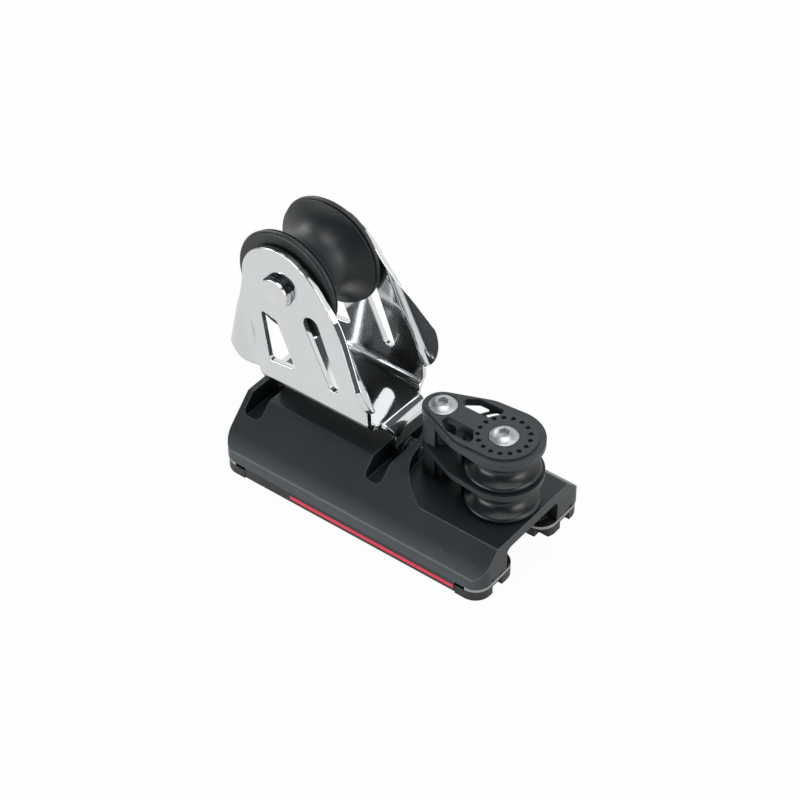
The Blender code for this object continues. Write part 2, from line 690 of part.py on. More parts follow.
def tab_stations(end, bend, face, floor):
    """A tab's rows past the floor's edge: round the bend, down with a taper, to a round end.

    Each is (x, z, half width, how much the row's ends rise).
    """
    stations = []
    reach = abs(bend)
    for a in (30, 60, 90):
        x = end + bend * sin(radians(a))
        stations.append((x, floor - reach * (1 - cos(radians(a))), TAB_HALF, 0))
    start = floor - reach
    for share in (0.45, 0.8):
        z = start + (PIN_Z - start) * share
        half = TAB_HALF + (TAB_END_RADIUS + MM - TAB_HALF) * share
        stations.append((face, z, half, 0))
    stations.append((face, PIN_Z - 2.5 * MM, TAB_END_RADIUS, 1.5 * MM))
    stations.append((face, PIN_Z - TAB_END_RADIUS, TAB_END_RADIUS * 0.8, 3 * MM))
    return stations


def stitch(work, grid):
    for one, two in zip(grid, grid[1:]):
        for i in range(len(one) - 1):
            work.faces.new((one[i], one[i + 1], two[i + 1], two[i]))


def cut_cage(cage, parent):
    """The windows, slots and bores of both cheeks, and the pin's bores in the tabs."""
    past = CAGE_HALF + WING_WIDTH + 5 * MM

    def at(across, down):
        """A point of the cheek by its shares of the cheek's width there and of the way to the fold."""
        z = fold_level() * down
        rear = rear_edge(z)
        return (AXLE_X + rear + (front_edge(z) - rear) * across, AXLE_Z + z)

    window = rounded([at(0.14, 0.31), at(0.296, 0.35), at(0.367, 0.792), at(0.12, 0.829)], 1.8 * MM, 3)
    taper = capsule(at(0.71, 0.215), 4.4 * MM, at(0.725, 0.765), 3.2 * MM, 4)
    cuts = [prism(outline, -past, past, "Y") for outline in (window, taper)]
    cuts.append(rod(AXLE_RADIUS + GAP, -past, past, (AXLE_X, 0, AXLE_Z), 20, "Y"))
    cuts.append(rod(PIN_RADIUS + GAP, -END, END, (0, 0, PIN_Z), 16, "X"))
    boolean(cage, add("cage_cut_tool", joined(cuts), parent))


def throat(radius, deep, half, steps):
    """A sheave's groove, from one rim to the other."""
    points = []
    for i in range(-steps, steps + 1):
        share = abs(i) / steps
        points.append((deep + (radius - deep) * share**2.3, half * i / steps))
    return points


def main_sheave(parent, black, nylon, steel, cage_parent):
    """The hourglass sheave with its grooved rims, on rollers and thrust washers."""
    rim = SHEAVE_HALF - RIM_WIDTH
    top = SHEAVE_RADIUS
    hub = SHEAVE_HALF - 1 * MM
    half = [(SHEAVE_BORE, -hub), (THRUST_RADIUS + 2 * MM, -hub), (THRUST_RADIUS + 3 * MM, -SHEAVE_HALF)]
    half += [(top - 1.6 * MM, -SHEAVE_HALF), (top - 0.4 * MM, -SHEAVE_HALF + 0.5 * MM)]
    half += [(top, -SHEAVE_HALF + 1.6 * MM), (top - 0.4 * MM, -rim - 0.5 * MM), (top - 1.3 * MM, -rim)]
    half += [(top - 1.3 * MM, -rim + RIM_GROOVE)]
    groove = throat(top - 0.9 * MM, SHEAVE_THROAT, rim - RIM_GROOVE - 0.3 * MM, 5)
    profile = half + groove + [(r, -y) for r, y in reversed(half)]
    centre = (AXLE_X, 0, AXLE_Z)
    add("main_sheave", turned(profile, centre, "Y", 30), parent, black)
    tip = CAGE_HALF + AXLE_STAND_OUT
    edge = 0.5 * MM
    axle = [(0, -tip), (AXLE_RADIUS - edge, -tip), (AXLE_RADIUS, -tip + edge), (AXLE_RADIUS, tip - edge)]
    axle += [(AXLE_RADIUS - edge, tip), (0, tip)]
    add("sheave_axle", turned(axle, centre, "Y", 20, False), cage_parent, steel)
    rollers = scalloped(AXLE_RADIUS + GAP, ROLLER_RING, ROLLER_COUNT, 2)
    length = hub - GAP
    make_tube("main_roller_set", rollers, centre, length, cage_parent, nylon)
    for side, across in SIDES.items():
        low, high = hub + GAP, hub + GAP + THRUST_THICKNESS
        washer = ring(AXLE_RADIUS + GAP, THRUST_RADIUS, across * low, across * high)
        add(f"{side}_thrust_washer", turned(washer, centre, "Y", 20), cage_parent, nylon)
        low, high = CAGE_HALF + GAP, CAGE_HALF + GAP + CLIP_THICKNESS
        clip = ring(AXLE_RADIUS + GAP / 2, AXLE_RADIUS + CLIP_THICKNESS, across * low, across * high)
        add(f"{side}_axle_clip", turned(clip, centre, "Y", 18), cage_parent, steel)


def scalloped(inner, wall, count, steps):
    """The outline of a roller set: a ring of rollers held together, as its outer and inner points."""
    pitch = inner + wall / 2
    roller = wall / 2
    outer = []
    for i in range(count):
        middle = 2 * pi * i / count
        centre = (pitch * cos(middle), pitch * sin(middle))
        outer += arc(centre, roller, middle - radians(75), middle + radians(75), steps)
    around = [2 * pi * i / (2 * count) for i in range(2 * count)]
    return outer, [(inner * cos(a), inner * sin(a)) for a in around]


def make_tube(name, shape, centre, half, parent, material):
    """A tube along Y through a centre, whose outer and inner outlines differ."""
    outer, inner = shape
    outline = [(centre[0] + x, centre[2] + z) for x, z in outer]
    made = add(name, prism(outline, centre[1] - half, centre[1] + half, "Y"), parent, material)
    hole = [(centre[0] + x, centre[2] + z) for x, z in inner]
    past = half + MM
    boolean(made, add(name + "_bore_tool", prism(hole, centre[1] - past, centre[1] + past, "Y"), parent))
    return made


def block_outline(insets=(0, 0, 0), steps=14):
    """The block cheeks' egg-shaped plan: the hull of a large, a waist and a nose circle.

    The insets draw in each circle, for the raised face and the nose wall.
    """
    waist_x = NOSE_X + (BLOCK_X - NOSE_X) * WAIST_SHARE
    circles = [(BLOCK_X, BLOCK_RADIUS), (waist_x, WAIST_RADIUS), (NOSE_X, NOSE_RADIUS)]
    circles = [(x, r - inset) for (x, r), inset in zip(circles, insets)]
    leans = []
    for (x, r), (next_x, next_r) in zip(circles, circles[1:]):
        leans.append(acos((next_r - r) / (x - next_x)))
    stops = [0] + leans + [pi]
    upper = []
    for (x, r), start, stop in zip(circles, stops, stops[1:]):
        count = max(2, round(steps * (stop - start) / pi) + 1)
        upper += arc((x, 0), r, start, stop, count)
    lower = [(x, -y) for x, y in reversed(upper[1:-1])]
    return upper + lower


def nose_wall(inset):
    """The C-shaped plan of the wall that follows the cheek's edge round the nose."""
    end = NOSE_X + NOSE_WALL_REACH
    sides = []
    for depth in (inset, inset + CHEEK_WALL):
        kept = [(x, y) for x, y in block_outline((depth, depth, depth)) if x < end]
        width = abs(kept[0][1])
        sides.append([(end, width)] + kept + [(end, -width)])
    return sides[0] + sides[1][::-1]


def nose_post(cheek, name, low, high, parent):
    """The moulded wall round the nose with a boss inside, and the guard that hugs the sheave."""
    rise = high + MM
    posts = [prism(nose_wall(0.5 * MM), low, rise)]
    posts.append(rod(SCREW_RADIUS + GAP + 2.4 * MM, low, rise, (NOSE_X, 0, 0), 16))
    clear = CONTROL_RADIUS + 1.2 * MM
    guard = arc((BLOCK_X, 0), clear, pi - GUARD_SPREAD, pi + GUARD_SPREAD, 8)
    guard += arc((BLOCK_X, 0), clear + GUARD_WALL, pi + GUARD_SPREAD, pi - GUARD_SPREAD, 8)
    posts.append(prism(guard, low, rise))
    boolean(cheek, add(name + "_nose_tool", joined(posts), parent), "UNION")


def top_cheek(parent, plastic):
    top = TOP_Z + TOP_CHEEK
    over = top + 5 * MM
    cheek = add("block_top_cheek", prism(block_outline(), TOP_Z, top), parent, plastic)
    raised = block_outline((3.4 * MM, 1.7 * MM, 1.3 * MM))
    boolean(cheek, add("top_raise_tool", prism(raised, top - MM, top + TOP_RAISE), parent), "UNION")
    seats = [rod(SCREW_HEAD_RADIUS + GAP, top - SEAT_SINK, over, (x, 0, 0), 20) for x in (BLOCK_X, NOSE_X)]
    for i in range(RING_HOLES):
        a = 2 * pi * i / RING_HOLES
        place = (BLOCK_X + RING_RADIUS * cos(a), RING_RADIUS * sin(a), 0)
        seats.append(rod(RING_HOLE_RADIUS, top + TOP_RAISE - RING_HOLE_DEPTH, over, place, 6))
    for across in SIDES.values():
        low = NOSE_X + 6.6 * MM
        clear = RING_RADIUS + RING_HOLE_RADIUS + 0.9 * MM
        corners = [(low, 5 * MM)] + arc((BLOCK_X, 0), clear, radians(158), radians(134), 1)
        corners += [(BLOCK_X - 9.6 * MM, 14 * MM), (low + 5 * MM, 13.4 * MM), (low - 0.6 * MM, 9.4 * MM)]
        window = [(x, across * y) for x, y in rounded(corners, 1.4 * MM, 2)]
        seats.append(prism(window, TOP_Z - MM, over))
    boolean(cheek, add("top_seat_tool", joined(seats), parent))
    nose_post(cheek, "top", MIDDLE_Z + MIDDLE_CHEEK + GAP, TOP_Z, parent)
    bores = [rod(SCREW_RADIUS + GAP, MIDDLE_Z, over, (x, 0, 0), 16) for x in (BLOCK_X, NOSE_X)]
    boolean(cheek, add("top_bore_tool", joined(bores), parent))
    return cheek


def middle_cheek(parent, plastic):
    top = MIDDLE_Z + MIDDLE_CHEEK
    cheek = add("block_middle_cheek", prism(block_outline(), MIDDLE_Z, top), parent, plastic)
    nose_post(cheek, "middle", DECK_TOP + GAP, MIDDLE_Z, parent)
    bores = [rod(SCREW_RADIUS + GAP, DECK_TOP - MM, top + MM, (x, 0, 0), 16) for x in (BLOCK_X, NOSE_X)]
    boolean(cheek, add("middle_bore_tool", joined(bores), parent))
    return cheek


def control_sheave(name, low, parent, black, nylon, steel, root):
    half = CONTROL_WIDTH / 2
    rim = half - 1.8 * MM
    top = CONTROL_RADIUS
    side = [(CONTROL_BORE, -half), (top - 1 * MM, -half), (top - 0.1 * MM, -half + 0.7 * MM)]
    side += [(top - 0.4 * MM, -rim)]
    groove = throat(top - 0.9 * MM, CONTROL_THROAT, rim - 0.5 * MM, 4)
    profile = side + groove + [(r, -h) for r, h in reversed(side)]
    centre = (BLOCK_X, 0, low + half)
    add(f"{name}_control_sheave", turned(profile, centre, "Z", 26), parent, black)
    short = half + CONTROL_GAP - GAP
    hub = ring(SCREW_RADIUS + GAP, HUB_RADIUS, -short, short)
    add(f"{name}_hub_sleeve", turned(hub, centre, "Z", 14), root, steel)
    outer, inner = scalloped(HUB_RADIUS + GAP, CONTROL_ROLLER_RING, CONTROL_ROLLERS, 2)
    outline = [(BLOCK_X + x, y) for x, y in outer]
    span = half - 2 * GAP
    rollers = add(f"{name}_roller_set", prism(outline, centre[2] - span, centre[2] + span), root, nylon)
    hole = [(BLOCK_X + x, y) for x, y in inner]
    tool = prism(hole, centre[2] - half - MM, centre[2] + half + MM)
    boolean(rollers, add(f"{name}_roller_bore_tool", tool, root))


def button_screw(name, x, low, parent, steel):
    """A button-head screw with a six-sided socket, from the top cheek down into the deck."""
    top = low + SCREW_HEAD
    rest = CHANNEL_TOP + 0.6 * MM
    outline = [(0, rest), (SCREW_RADIUS, rest), (SCREW_RADIUS, low), (SCREW_HEAD_RADIUS, low)]
    dome = [(SCREW_HEAD_RADIUS * cos(radians(a)), low + SCREW_HEAD * sin(radians(a))) for a in (16, 38, 60)]
    screw = add(name, turned(outline + dome + [(0, dome[-1][1])], (x, 0, 0), "Z", 18, False), parent, steel)
    hexagon = arc((x, 0), SCREW_SOCKET / cos(radians(30)), radians(10), radians(310), 5)
    socket = prism(hexagon, dome[-1][1] - SCREW_SOCKET_DEPTH, top + MM)
    boolean(screw, add(name + "_socket_tool", socket, parent))
    return screw


def build():
    empty_the_scene()
    black = finish("black_anodised", (0.03, 0.036, 0.04), 0.42, 0.6)
    plastic = finish("black_plastic", (0.025, 0.027, 0.03), 0.5, 0)
    sheave = finish("black_sheave", (0.018, 0.02, 0.023), 0.35, 0.1)
    steel = finish("polished_steel", (0.72, 0.73, 0.74), 0.12, 1)
    satin = finish("satin_steel", (0.55, 0.56, 0.57), 0.3, 1)
    nylon = finish("bearing_plastic", (0.32, 0.3, 0.24), 0.5, 0)

    frame = empty("car_frame", (0, 0, 0))
    frame.location.z = -CHANNEL_TOP
    pivot = empty("cage_pivot_axis", (0, 0, PIN_Z), frame)
    spin = empty("main_sheave_axis", (AXLE_X, 0, AXLE_Z), pivot)
    control_spin = empty("control_sheave_axis", (BLOCK_X, 0, DECK_TOP), frame)

    car_body(frame, black)
    for side, across in SIDES.items():
        for end, along in ENDS.items():
            end_cap(f"{side}_{end}_end_cap", along, across, frame, plastic)
            ball_band(f"{side}_{end}_ball_band", along, across, frame, satin)
            cap_screw(f"{side}_{end}_cap_screw", along, across, frame, satin)
        ball_tray(f"{side}_ball_tray", across, frame, plastic)
        side_strip(f"{side}_side_strip", across, frame, plastic)
        ball_train(f"{side}_ball_train", across, frame, nylon)
    pivot_parts(frame, satin, nylon)
    sheave_cage(pivot, steel)
    main_sheave(spin, sheave, nylon, satin, pivot)
    top_cheek(frame, plastic)
    middle_cheek(frame, plastic)
    control_sheave("lower", LOWER_SHEAVE_Z, control_spin, sheave, nylon, satin, frame)
    control_sheave("upper", UPPER_SHEAVE_Z, control_spin, sheave, nylon, satin, frame)
    base = ring(SCREW_RADIUS + GAP, HUB_RADIUS + BASE_WASHER_RIM, DECK_TOP + GAP, DECK_TOP + GAP + BASE_WASHER)
    add("base_washer", turned(base, (BLOCK_X, 0, 0), "Z", 18), frame, satin)
    head = TOP_Z + TOP_CHEEK - SEAT_SINK + GAP
    button_screw("centre_screw", BLOCK_X, head, frame, satin)
    button_screw("nose_screw", NOSE_X, head, frame, satin)


build()
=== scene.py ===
"""Render model of an adjustable track car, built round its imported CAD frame.

Outlines are worked out in car coordinates, whose Z starts at the feet, with the control block at +X.
Each finished piece is then lowered to the frame's origin, the ceiling of the track channel.
"""

from math import acos, asin, atan2, cos, pi, radians, sin, sqrt, tan

import bmesh
import bpy
from mathutils import Matrix, Vector


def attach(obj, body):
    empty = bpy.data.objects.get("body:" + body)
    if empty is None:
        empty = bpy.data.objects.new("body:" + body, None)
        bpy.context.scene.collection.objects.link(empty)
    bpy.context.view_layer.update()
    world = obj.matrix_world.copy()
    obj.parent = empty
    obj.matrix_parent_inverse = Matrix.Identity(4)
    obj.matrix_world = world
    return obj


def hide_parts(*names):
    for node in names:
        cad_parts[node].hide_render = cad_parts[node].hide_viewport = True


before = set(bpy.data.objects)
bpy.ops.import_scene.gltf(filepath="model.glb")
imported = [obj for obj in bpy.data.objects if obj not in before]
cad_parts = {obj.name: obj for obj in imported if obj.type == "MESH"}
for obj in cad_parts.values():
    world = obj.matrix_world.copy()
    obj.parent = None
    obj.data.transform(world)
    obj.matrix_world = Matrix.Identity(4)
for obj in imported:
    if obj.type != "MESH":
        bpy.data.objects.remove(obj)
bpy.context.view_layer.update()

# The studio. A white table under wide soft lamps in a dark room, which polished metal shows as its
# dark parts. The camera looks down on the car from beside its front end.
MM = 0.001
FEET = -20 * MM
WHITE = (1, 1, 1, 1)
CEILING_GREY = (0.12, 0.125, 0.13, 1)
WALL_GREY = (0.05, 0.055, 0.06, 1)
FLOOR_GREY = (0.04, 0.044, 0.048, 1)
LAMP_AIM = Vector((0, 0, 0.04))
CAMERA_PLACE = (0.57317, -0.74487, 0.87508)
CAMERA_TURN = (radians(48.233), 0, radians(37.594))
CAMERA_LENS = 121.36


class Wire:
    """A socket in a node tree. Arithmetic on it adds Math nodes."""

    def __init__(self, tree, socket):
        self.tree = tree
        self.socket = socket

    def node(self, kind, inputs, out=0, stops=None, **settings):
        """Adds a node: its settings first, then the values or links of its sockets."""
        made = self.tree.nodes.new(kind)
        for name, value in settings.items():
            setattr(made, name, value)
        if stops:
            points = made.color_ramp.elements
            while len(points) < len(stops):
                points.new(1)
            for point, (place, colour) in zip(points, stops):
                point.position, point.color = place, colour
        for key, value in inputs.items():
            if isinstance(value, Wire):
                self.tree.links.new(value.socket, made.inputs[key])
            else:
                made.inputs[key].default_value = value
        return Wire(self.tree, made.outputs[out])

    def math(self, operation, one, two=0.0):
        return self.node("ShaderNodeMath", {0: one, 1: two}, operation=operation)

    def __add__(self, other):
        return self.math("ADD", self, other)

    def __radd__(self, other):
        return self.math("ADD", other, self)

    def __sub__(self, other):
        return self.math("SUBTRACT", self, other)

    def __rsub__(self, other):
        return self.math("SUBTRACT", other, self)

    def __mul__(self, other):
        return self.math("MULTIPLY", self, other)

    def __rmul__(self, other):
        return self.math("MULTIPLY", other, self)

    def __gt__(self, other):
        return self.math("GREATER_THAN", self, other)

    def __lt__(self, other):
        return self.math("LESS_THAN", self, other)

    def feed(self, node, key):
        self.tree.links.new(self.socket, node.inputs[key])


def light_path(tree):
    """Wires that tell whether a ray comes from the camera, off a glossy surface or through a clear one."""
    path = tree.nodes.new("ShaderNodeLightPath")
    return [Wire(tree, path.outputs[f"Is {ray} Ray"]) for ray in ("Camera", "Glossy", "Transmission")]


def coordinates(tree, name):
    return Wire(tree, tree.nodes.new("ShaderNodeTexCoord").outputs[name])


def linked(name, data):
    made = bpy.data.objects.new(name, data)
    bpy.context.scene.collection.objects.link(made)
    return made


def studio_room():
    """A dark room with a wide white sweep behind the object; the camera sees white all round."""
    room = bpy.data.worlds.new("studio_room")
    bpy.context.scene.world = room
    room.use_nodes = True
    tree = room.node_tree
    tree.nodes.clear()
    seen, shiny, through = light_path(tree)
    way = coordinates(tree, "Generated")
    y, z = [way.node("ShaderNodeSeparateXYZ", {0: way}, out=i) for i in (1, 2)]
    backdrop = (y > -0.1) * (z < 0.62)
    stops = [(0.0, FLOOR_GREY), (0.5, WALL_GREY), (0.6, CEILING_GREY), (1.0, CEILING_GREY)]
    dim = z.node("ShaderNodeValToRGB", {0: z * 0.5 + 0.5}, stops=stops)
    white = seen + (shiny + through) * backdrop
    colour = seen.node("ShaderNodeMix", {0: white, 6: dim, 7: WHITE}, out=2, data_type="RGBA")
    sky = seen.node("ShaderNodeBackground", {"Color": colour, "Strength": 1.0})
    sky.feed(tree.nodes.new("ShaderNodeOutputWorld"), "Surface")


def floor_finish():
    made = bpy.data.materials.new("pale_floor")
    made.use_nodes = True
    tree = made.node_tree
    tree.nodes.clear()
    seen, glossy, through = light_path(tree)
    paper = seen.node("ShaderNodeBsdfDiffuse", {"Color": (0.8, 0.8, 0.8, 1)})
    glow = seen.node("ShaderNodeEmission", {"Color": WHITE, "Strength": 1.0})
    shown = seen * 0.96 + glossy * 0.3 + through
    mixed = seen.node("ShaderNodeMixShader", {0: shown, 1: paper, 2: glow})
    mixed.feed(tree.nodes.new("ShaderNodeOutputMaterial"), "Surface")
    return made


def pale_floor():
    reach, low = 0.9, FEET - 0.05 * MM
    mesh = bpy.data.meshes.new("floor")
    corners = [(-reach, -reach, low), (reach, -reach, low), (reach, reach, low), (-reach, reach, low)]
    mesh.from_pydata(corners, [], [(0, 1, 2, 3)])
    mesh.materials.append(floor_finish())
    linked("floor", mesh)


def lamp(name, place, size, power):
    light = bpy.data.lights.new(name, "AREA")
    light.shape = "RECTANGLE"
    light.size, light.size_y = size
    light.energy = power
    made = linked(name, light)
    made.location = place
    made.rotation_euler = (LAMP_AIM - Vector(place)).to_track_quat("-Z", "Y").to_euler()


def photo_camera():
    camera = bpy.data.cameras.new("camera")
    camera.lens = CAMERA_LENS
    camera.sensor_width = 36
    camera.clip_start = 0.05
    made = linked("camera", camera)
    made.location = CAMERA_PLACE
    made.rotation_euler = CAMERA_TURN
    bpy.context.scene.camera = made


bpy.context.scene.view_settings.view_transform = "Standard"
studio_room()
pale_floor()
photo_camera()
lamp("left_softbox", (-1.3, 0.3, 0.8), (1.0, 0.7), 9)
lamp("overhead_softbox", (0.25, -0.1, 1.5), (1.3, 1.0), 14)
lamp("right_softbox", (1.2, 0.1, 0.6), (0.8, 0.7), 6)
lamp("front_softbox", (-0.5, -1.1, 0.16), (1.0, 0.4), 7.5)
lamp("rear_card", (-0.15, 0.23, 0.33), (0.16, 0.13), 0.07)

# The car body. One length of extruded aluminium with the track channel under it, milled from above
# with a round pocket for the control block and two slots for the cage's tabs, then black anodised.
CAR_LENGTH = 155 * MM
CAR_WIDTH = 83 * MM
END = CAR_LENGTH / 2
SIDE = CAR_WIDTH / 2
LOBE_BOTTOM = 7.2 * MM
SIDE_TOP = 12.3 * MM
DECK_TOP = 26 * MM
RIDGE_TOP = 34.2 * MM
SIDE_ROUND = 5 * MM
RIDGE_ROUND = 2.4 * MM
CORNER_RADIUS = 8.5 * MM
CHANNEL_HALF = 20.2 * MM
CHANNEL_TOP = 20 * MM
CHANNEL_ROUND = 3 * MM
POCKET_X = 41.5 * MM
POCKET_RADIUS = 29 * MM
SLOT_HALF_LENGTH = 27.5 * MM
SLOT_FLOOR = 23 * MM
SLOT_ROUND = 2.8 * MM
REAR_SLOT = (-74.5 * MM, 10.3 * MM)
FRONT_SLOT = (-1 * MM, 9.6 * MM)
PIN_Z = 29.5 * MM
PIN_BORE = 3.2 * MM
BLOCK_X = 59.5 * MM
NOSE_X = 24.7 * MM
SCREW_BORE = 4.2 * MM
RETURN_ROW = 30.2 * MM
CIRCUIT_Y = 22.7 * MM
# How far out across the body the painted highlight on the rounded side edges starts, and where it is full.
EDGE_SHEEN_BAND = (SIDE - 7 * MM, SIDE - MM)
ENDS = {"front": 1, "rear": -1}
SIDES = {"right": -1, "left": 1}


def arc(centre, radius, start, stop, steps):
    """Points on an arc, with the angles in radians."""
    angles = [start + (stop - start) * i / steps for i in range(steps + 1)]
    return [(centre[0] + radius * cos(a), centre[1] + radius * sin(a)) for a in angles]


def oblong(left, low, right, high):
    """The four corners of a rectangle."""
    return [(left, low), (right, low), (right, high), (left, high)]


def rounded(corners, radius, steps=8):
    """A closed outline with every corner rounded; radius is one value or one for each corner."""
    points = []
    radii = radius if isinstance(radius, (list, tuple)) else [radius] * len(corners)
    for i, corner in enumerate(corners):
        here = Vector(corner)
        if radii[i] == 0:
            points.append(tuple(here))
            continue
        back = (Vector(corners[i - 1]) - here).normalized()
        ahead = (Vector(corners[(i + 1) % len(corners)]) - here).normalized()
        half = back.angle(ahead) / 2
        middle = here + (back + ahead).normalized() * radii[i] / sin(half)
        first = here + back * radii[i] / tan(half) - middle
        last = here + ahead * radii[i] / tan(half) - middle
        turn = 1 if first.x * last.y - first.y * last.x > 0 else -1
        start = atan2(first.y, first.x)
        points += arc(middle, radii[i], start, start + turn * first.angle(last), steps)
    return points


def prism(outline, low, high, axis="Z"):
    """Extrudes a flat outline: (x, y) along Z, (y, z) along X, or (x, z) along Y."""
    order = {"Z": lambda a, b, c: (a, b, c), "X": lambda a, b, c: (c, a, b), "Y": lambda a, b, c: (a, c, b)}
    work = bmesh.new()
    bottom = [work.verts.new(order[axis](a, b, low)) for a, b in outline]
    top = [work.verts.new(order[axis](a, b, high)) for a, b in outline]
    work.faces.new(bottom)
    work.faces.new(top)
    for i, vert in enumerate(bottom):
        j = (i + 1) % len(bottom)
        work.faces.new((vert, bottom[j], top[j], top[i]))
    return work


def lathe(profile, centre, axis="Z", steps=96, closed=True):
    """Turns a profile of (radius, height) about an axis. An open profile starts and ends on it."""
    places = {"Z": lambda u, v, h: (u, v, h), "Y": lambda u, v, h: (u, h, v), "X": lambda u, v, h: (h, u, v)}
    work = bmesh.new()
    rings = []
    for radius, height in profile:
        angles = [2 * pi * i / steps for i in range(1 if radius == 0 else steps)]
        points = [places[axis](radius * cos(a), radius * sin(a), height) for a in angles]
        rings.append([work.verts.new(Vector(p) + Vector(centre)) for p in points])
    pairs = list(zip(rings, rings[1:]))
    if closed:
        pairs.append((rings[-1], rings[0]))
    for one, two in pairs:
        for i in range(steps):
            j = (i + 1) % steps
            corners = [one[i % len(one)], one[j % len(one)], two[j % len(two)], two[i % len(two)]]
            corners = list(dict.fromkeys(corners))
            if len(corners) > 2:
                work.faces.new(corners)
    return work


def rod(radius, low, high, place, steps=32, axis="Z"):
    return lathe([(0, low), (radius, low), (radius, high), (0, high)], place, axis, steps, False)


def new_object(name, work):
    """An object from geometry in car coordinates, with its normals outwards."""
    bmesh.ops.remove_doubles(work, verts=work.verts, dist=0.0005 * MM)
    bmesh.ops.recalc_face_normals(work, faces=work.faces)
    mesh = bpy.data.meshes.new(name)
    work.to_mesh(mesh)
    work.free()
    return linked(name, mesh)


def settled(item):
    """Puts the result of an object's modifiers in its mesh."""
    bpy.context.view_layer.update()
    graph = bpy.context.evaluated_depsgraph_get()
    item.data = bpy.data.meshes.new_from_object(item.evaluated_get(graph))
    item.modifiers.clear()


def machine(item, shapes, operation="DIFFERENCE"):
    """Cuts shapes out of an object one after the other, or adds them, and tidies its flat faces."""
    for shape in shapes:
        tool = new_object("tool", shape)
        step = item.modifiers.new("cut", "BOOLEAN")
        step.operation, step.solver, step.object = operation, "EXACT", tool
        settled(item)
        bpy.data.objects.remove(tool)
    work = bmesh.new()
    work.from_mesh(item.data)
    bmesh.ops.remove_doubles(work, verts=work.verts, dist=0.004 * MM)
    edges = [e for e in work.edges if e.is_manifold]
    bmesh.ops.dissolve_limit(work, angle_limit=radians(0.4), verts=work.verts, edges=edges)
    work.to_mesh(item.data)
    work.free()


def dress(item, body, coat, nodes, edge=0.0, corner=38):
    """Breaks an object's edges, gives it its finish and fixes it to its CAD body."""
    item.data.transform(Matrix.Translation((0, 0, FEET)))
    item.data.materials.clear()
    item.data.materials.append(coat)
    item.data.shade_smooth()
    if edge:
        bevel = item.modifiers.new("broken_edges", "BEVEL")
        bevel.width, bevel.segments = edge, 2
        bevel.limit_method, bevel.angle_limit = "ANGLE", radians(corner)
        bevel.use_clamp_overlap = True
        bevel.harden_normals = True
    else:
        item.data.set_sharp_from_angle(angle=radians(corner))
    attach(item, body)
    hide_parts(*nodes)


def finish(name, colour, roughness, metallic=0.0):
    """A Principled material and its object coordinates, ready for what varies over its surface."""
    made = bpy.data.materials.new(name)
    made.use_nodes = True
    shader = made.node_tree.nodes["Principled BSDF"]
    values = {"Base Color": (*colour, 1), "Roughness": roughness, "Metallic": metallic}
    for key, value in values.items():
        shader.inputs[key].default_value = value
    return made, shader, coordinates(made.node_tree, "Object")


def noise(place, scale, detail=3.0, stretch=(1, 1, 1)):
    """Noise of about one feature in each 1/scale metres, stretched along the axes."""
    spot = place.node("ShaderNodeMapping", {"Vector": place, "Scale": stretch})
    return place.node("ShaderNodeTexNoise", {"Vector": spot, "Scale": scale, "Detail": detail})


def bump(height, shader, depth):
    """Feeds a height of 0 to 1 to the shader's normal, as a relief of a real depth."""
    relief = height.node("ShaderNodeBump", {"Height": height, "Distance": depth, "Strength": 1.0})
    relief.feed(shader, "Normal")


def blend_colours(mask, one, two):
    """Mixes two colours by a mask; each is three numbers or a wire."""
    ends = [colour if isinstance(colour, Wire) else (*colour, 1) for colour in (one, two)]
    return mask.node("ShaderNodeMix", {0: mask, 6: ends[0], 7: ends[1]}, out=2, data_type="RGBA")


def anodised():
    """Black anodising with faint lines, grain and specks, painted paler towards the rounded side edges as a
    painted highlight.
    """
    made, shader, place = finish("black_anodised", (0.02, 0.025, 0.028), 0.4)
    cloud = noise(place, 45)
    grain = noise(place, 2600, 2)
    lines = noise(place, 900, 2, (0.02, 1, 1))
    specks = noise(place, 420, 1) > 0.785
    y = place.node("ShaderNodeSeparateXYZ", {0: place}, out=1)
    outwards = y.math("ABSOLUTE", y)
    # The outer band of each side is painted paler: a painted highlight where the rounded side edges face the
    # light.
    painted_sheen = outwards.node("ShaderNodeMapRange", {0: outwards, 1: EDGE_SHEEN_BAND[0], 2: EDGE_SHEEN_BAND[1]})
    black = blend_colours(cloud, (0.007, 0.011, 0.013), (0.012, 0.018, 0.021))
    sheened = blend_colours(painted_sheen, black, (0.042, 0.054, 0.06))
    blend_colours(specks * 0.35, sheened, (0.2, 0.21, 0.22)).feed(shader, "Base Color")
    (cloud * 0.1 + lines * 0.06 + 0.33).feed(shader, "Roughness")
    bump(grain * 0.7 + lines * 0.3, shader, 0.008 * MM)
    return made


def painted_edge_highlight():
    """The same anodising on the machined edges, painted grey as a highlight where they catch the light."""
    made, shader, place = finish("painted_edge_highlight", (0.085, 0.095, 0.1), 0.36)
    highlight_patches = noise(place, 220, 2)
    blend_colours(highlight_patches, (0.05, 0.06, 0.065), (0.13, 0.145, 0.15)).feed(shader, "Base Color")
    return made


def body_section():
    """The body's section: its half at +Y from the ridge down to the channel, then the mirrored half."""
    bend = tan(radians(22.5))
    slope_sum = SIDE + SIDE_TOP
    ridge = (slope_sum - RIDGE_TOP - RIDGE_ROUND * bend, RIDGE_TOP - RIDGE_ROUND)
    shoulder = (SIDE - SIDE_ROUND, SIDE_TOP - SIDE_ROUND * bend)
    half = arc(ridge, RIDGE_ROUND, radians(90), radians(45), 8)
    half += arc(shoulder, SIDE_ROUND, radians(45), 0, 10)
    half += [(SIDE, LOBE_BOTTOM), (CHANNEL_HALF, LOBE_BOTTOM)]
    corner = (CHANNEL_HALF - CHANNEL_ROUND, CHANNEL_TOP - CHANNEL_ROUND)
    half += arc(corner, CHANNEL_ROUND, 0, radians(90), 10)
    return half + [(-y, z) for y, z in reversed(half)]


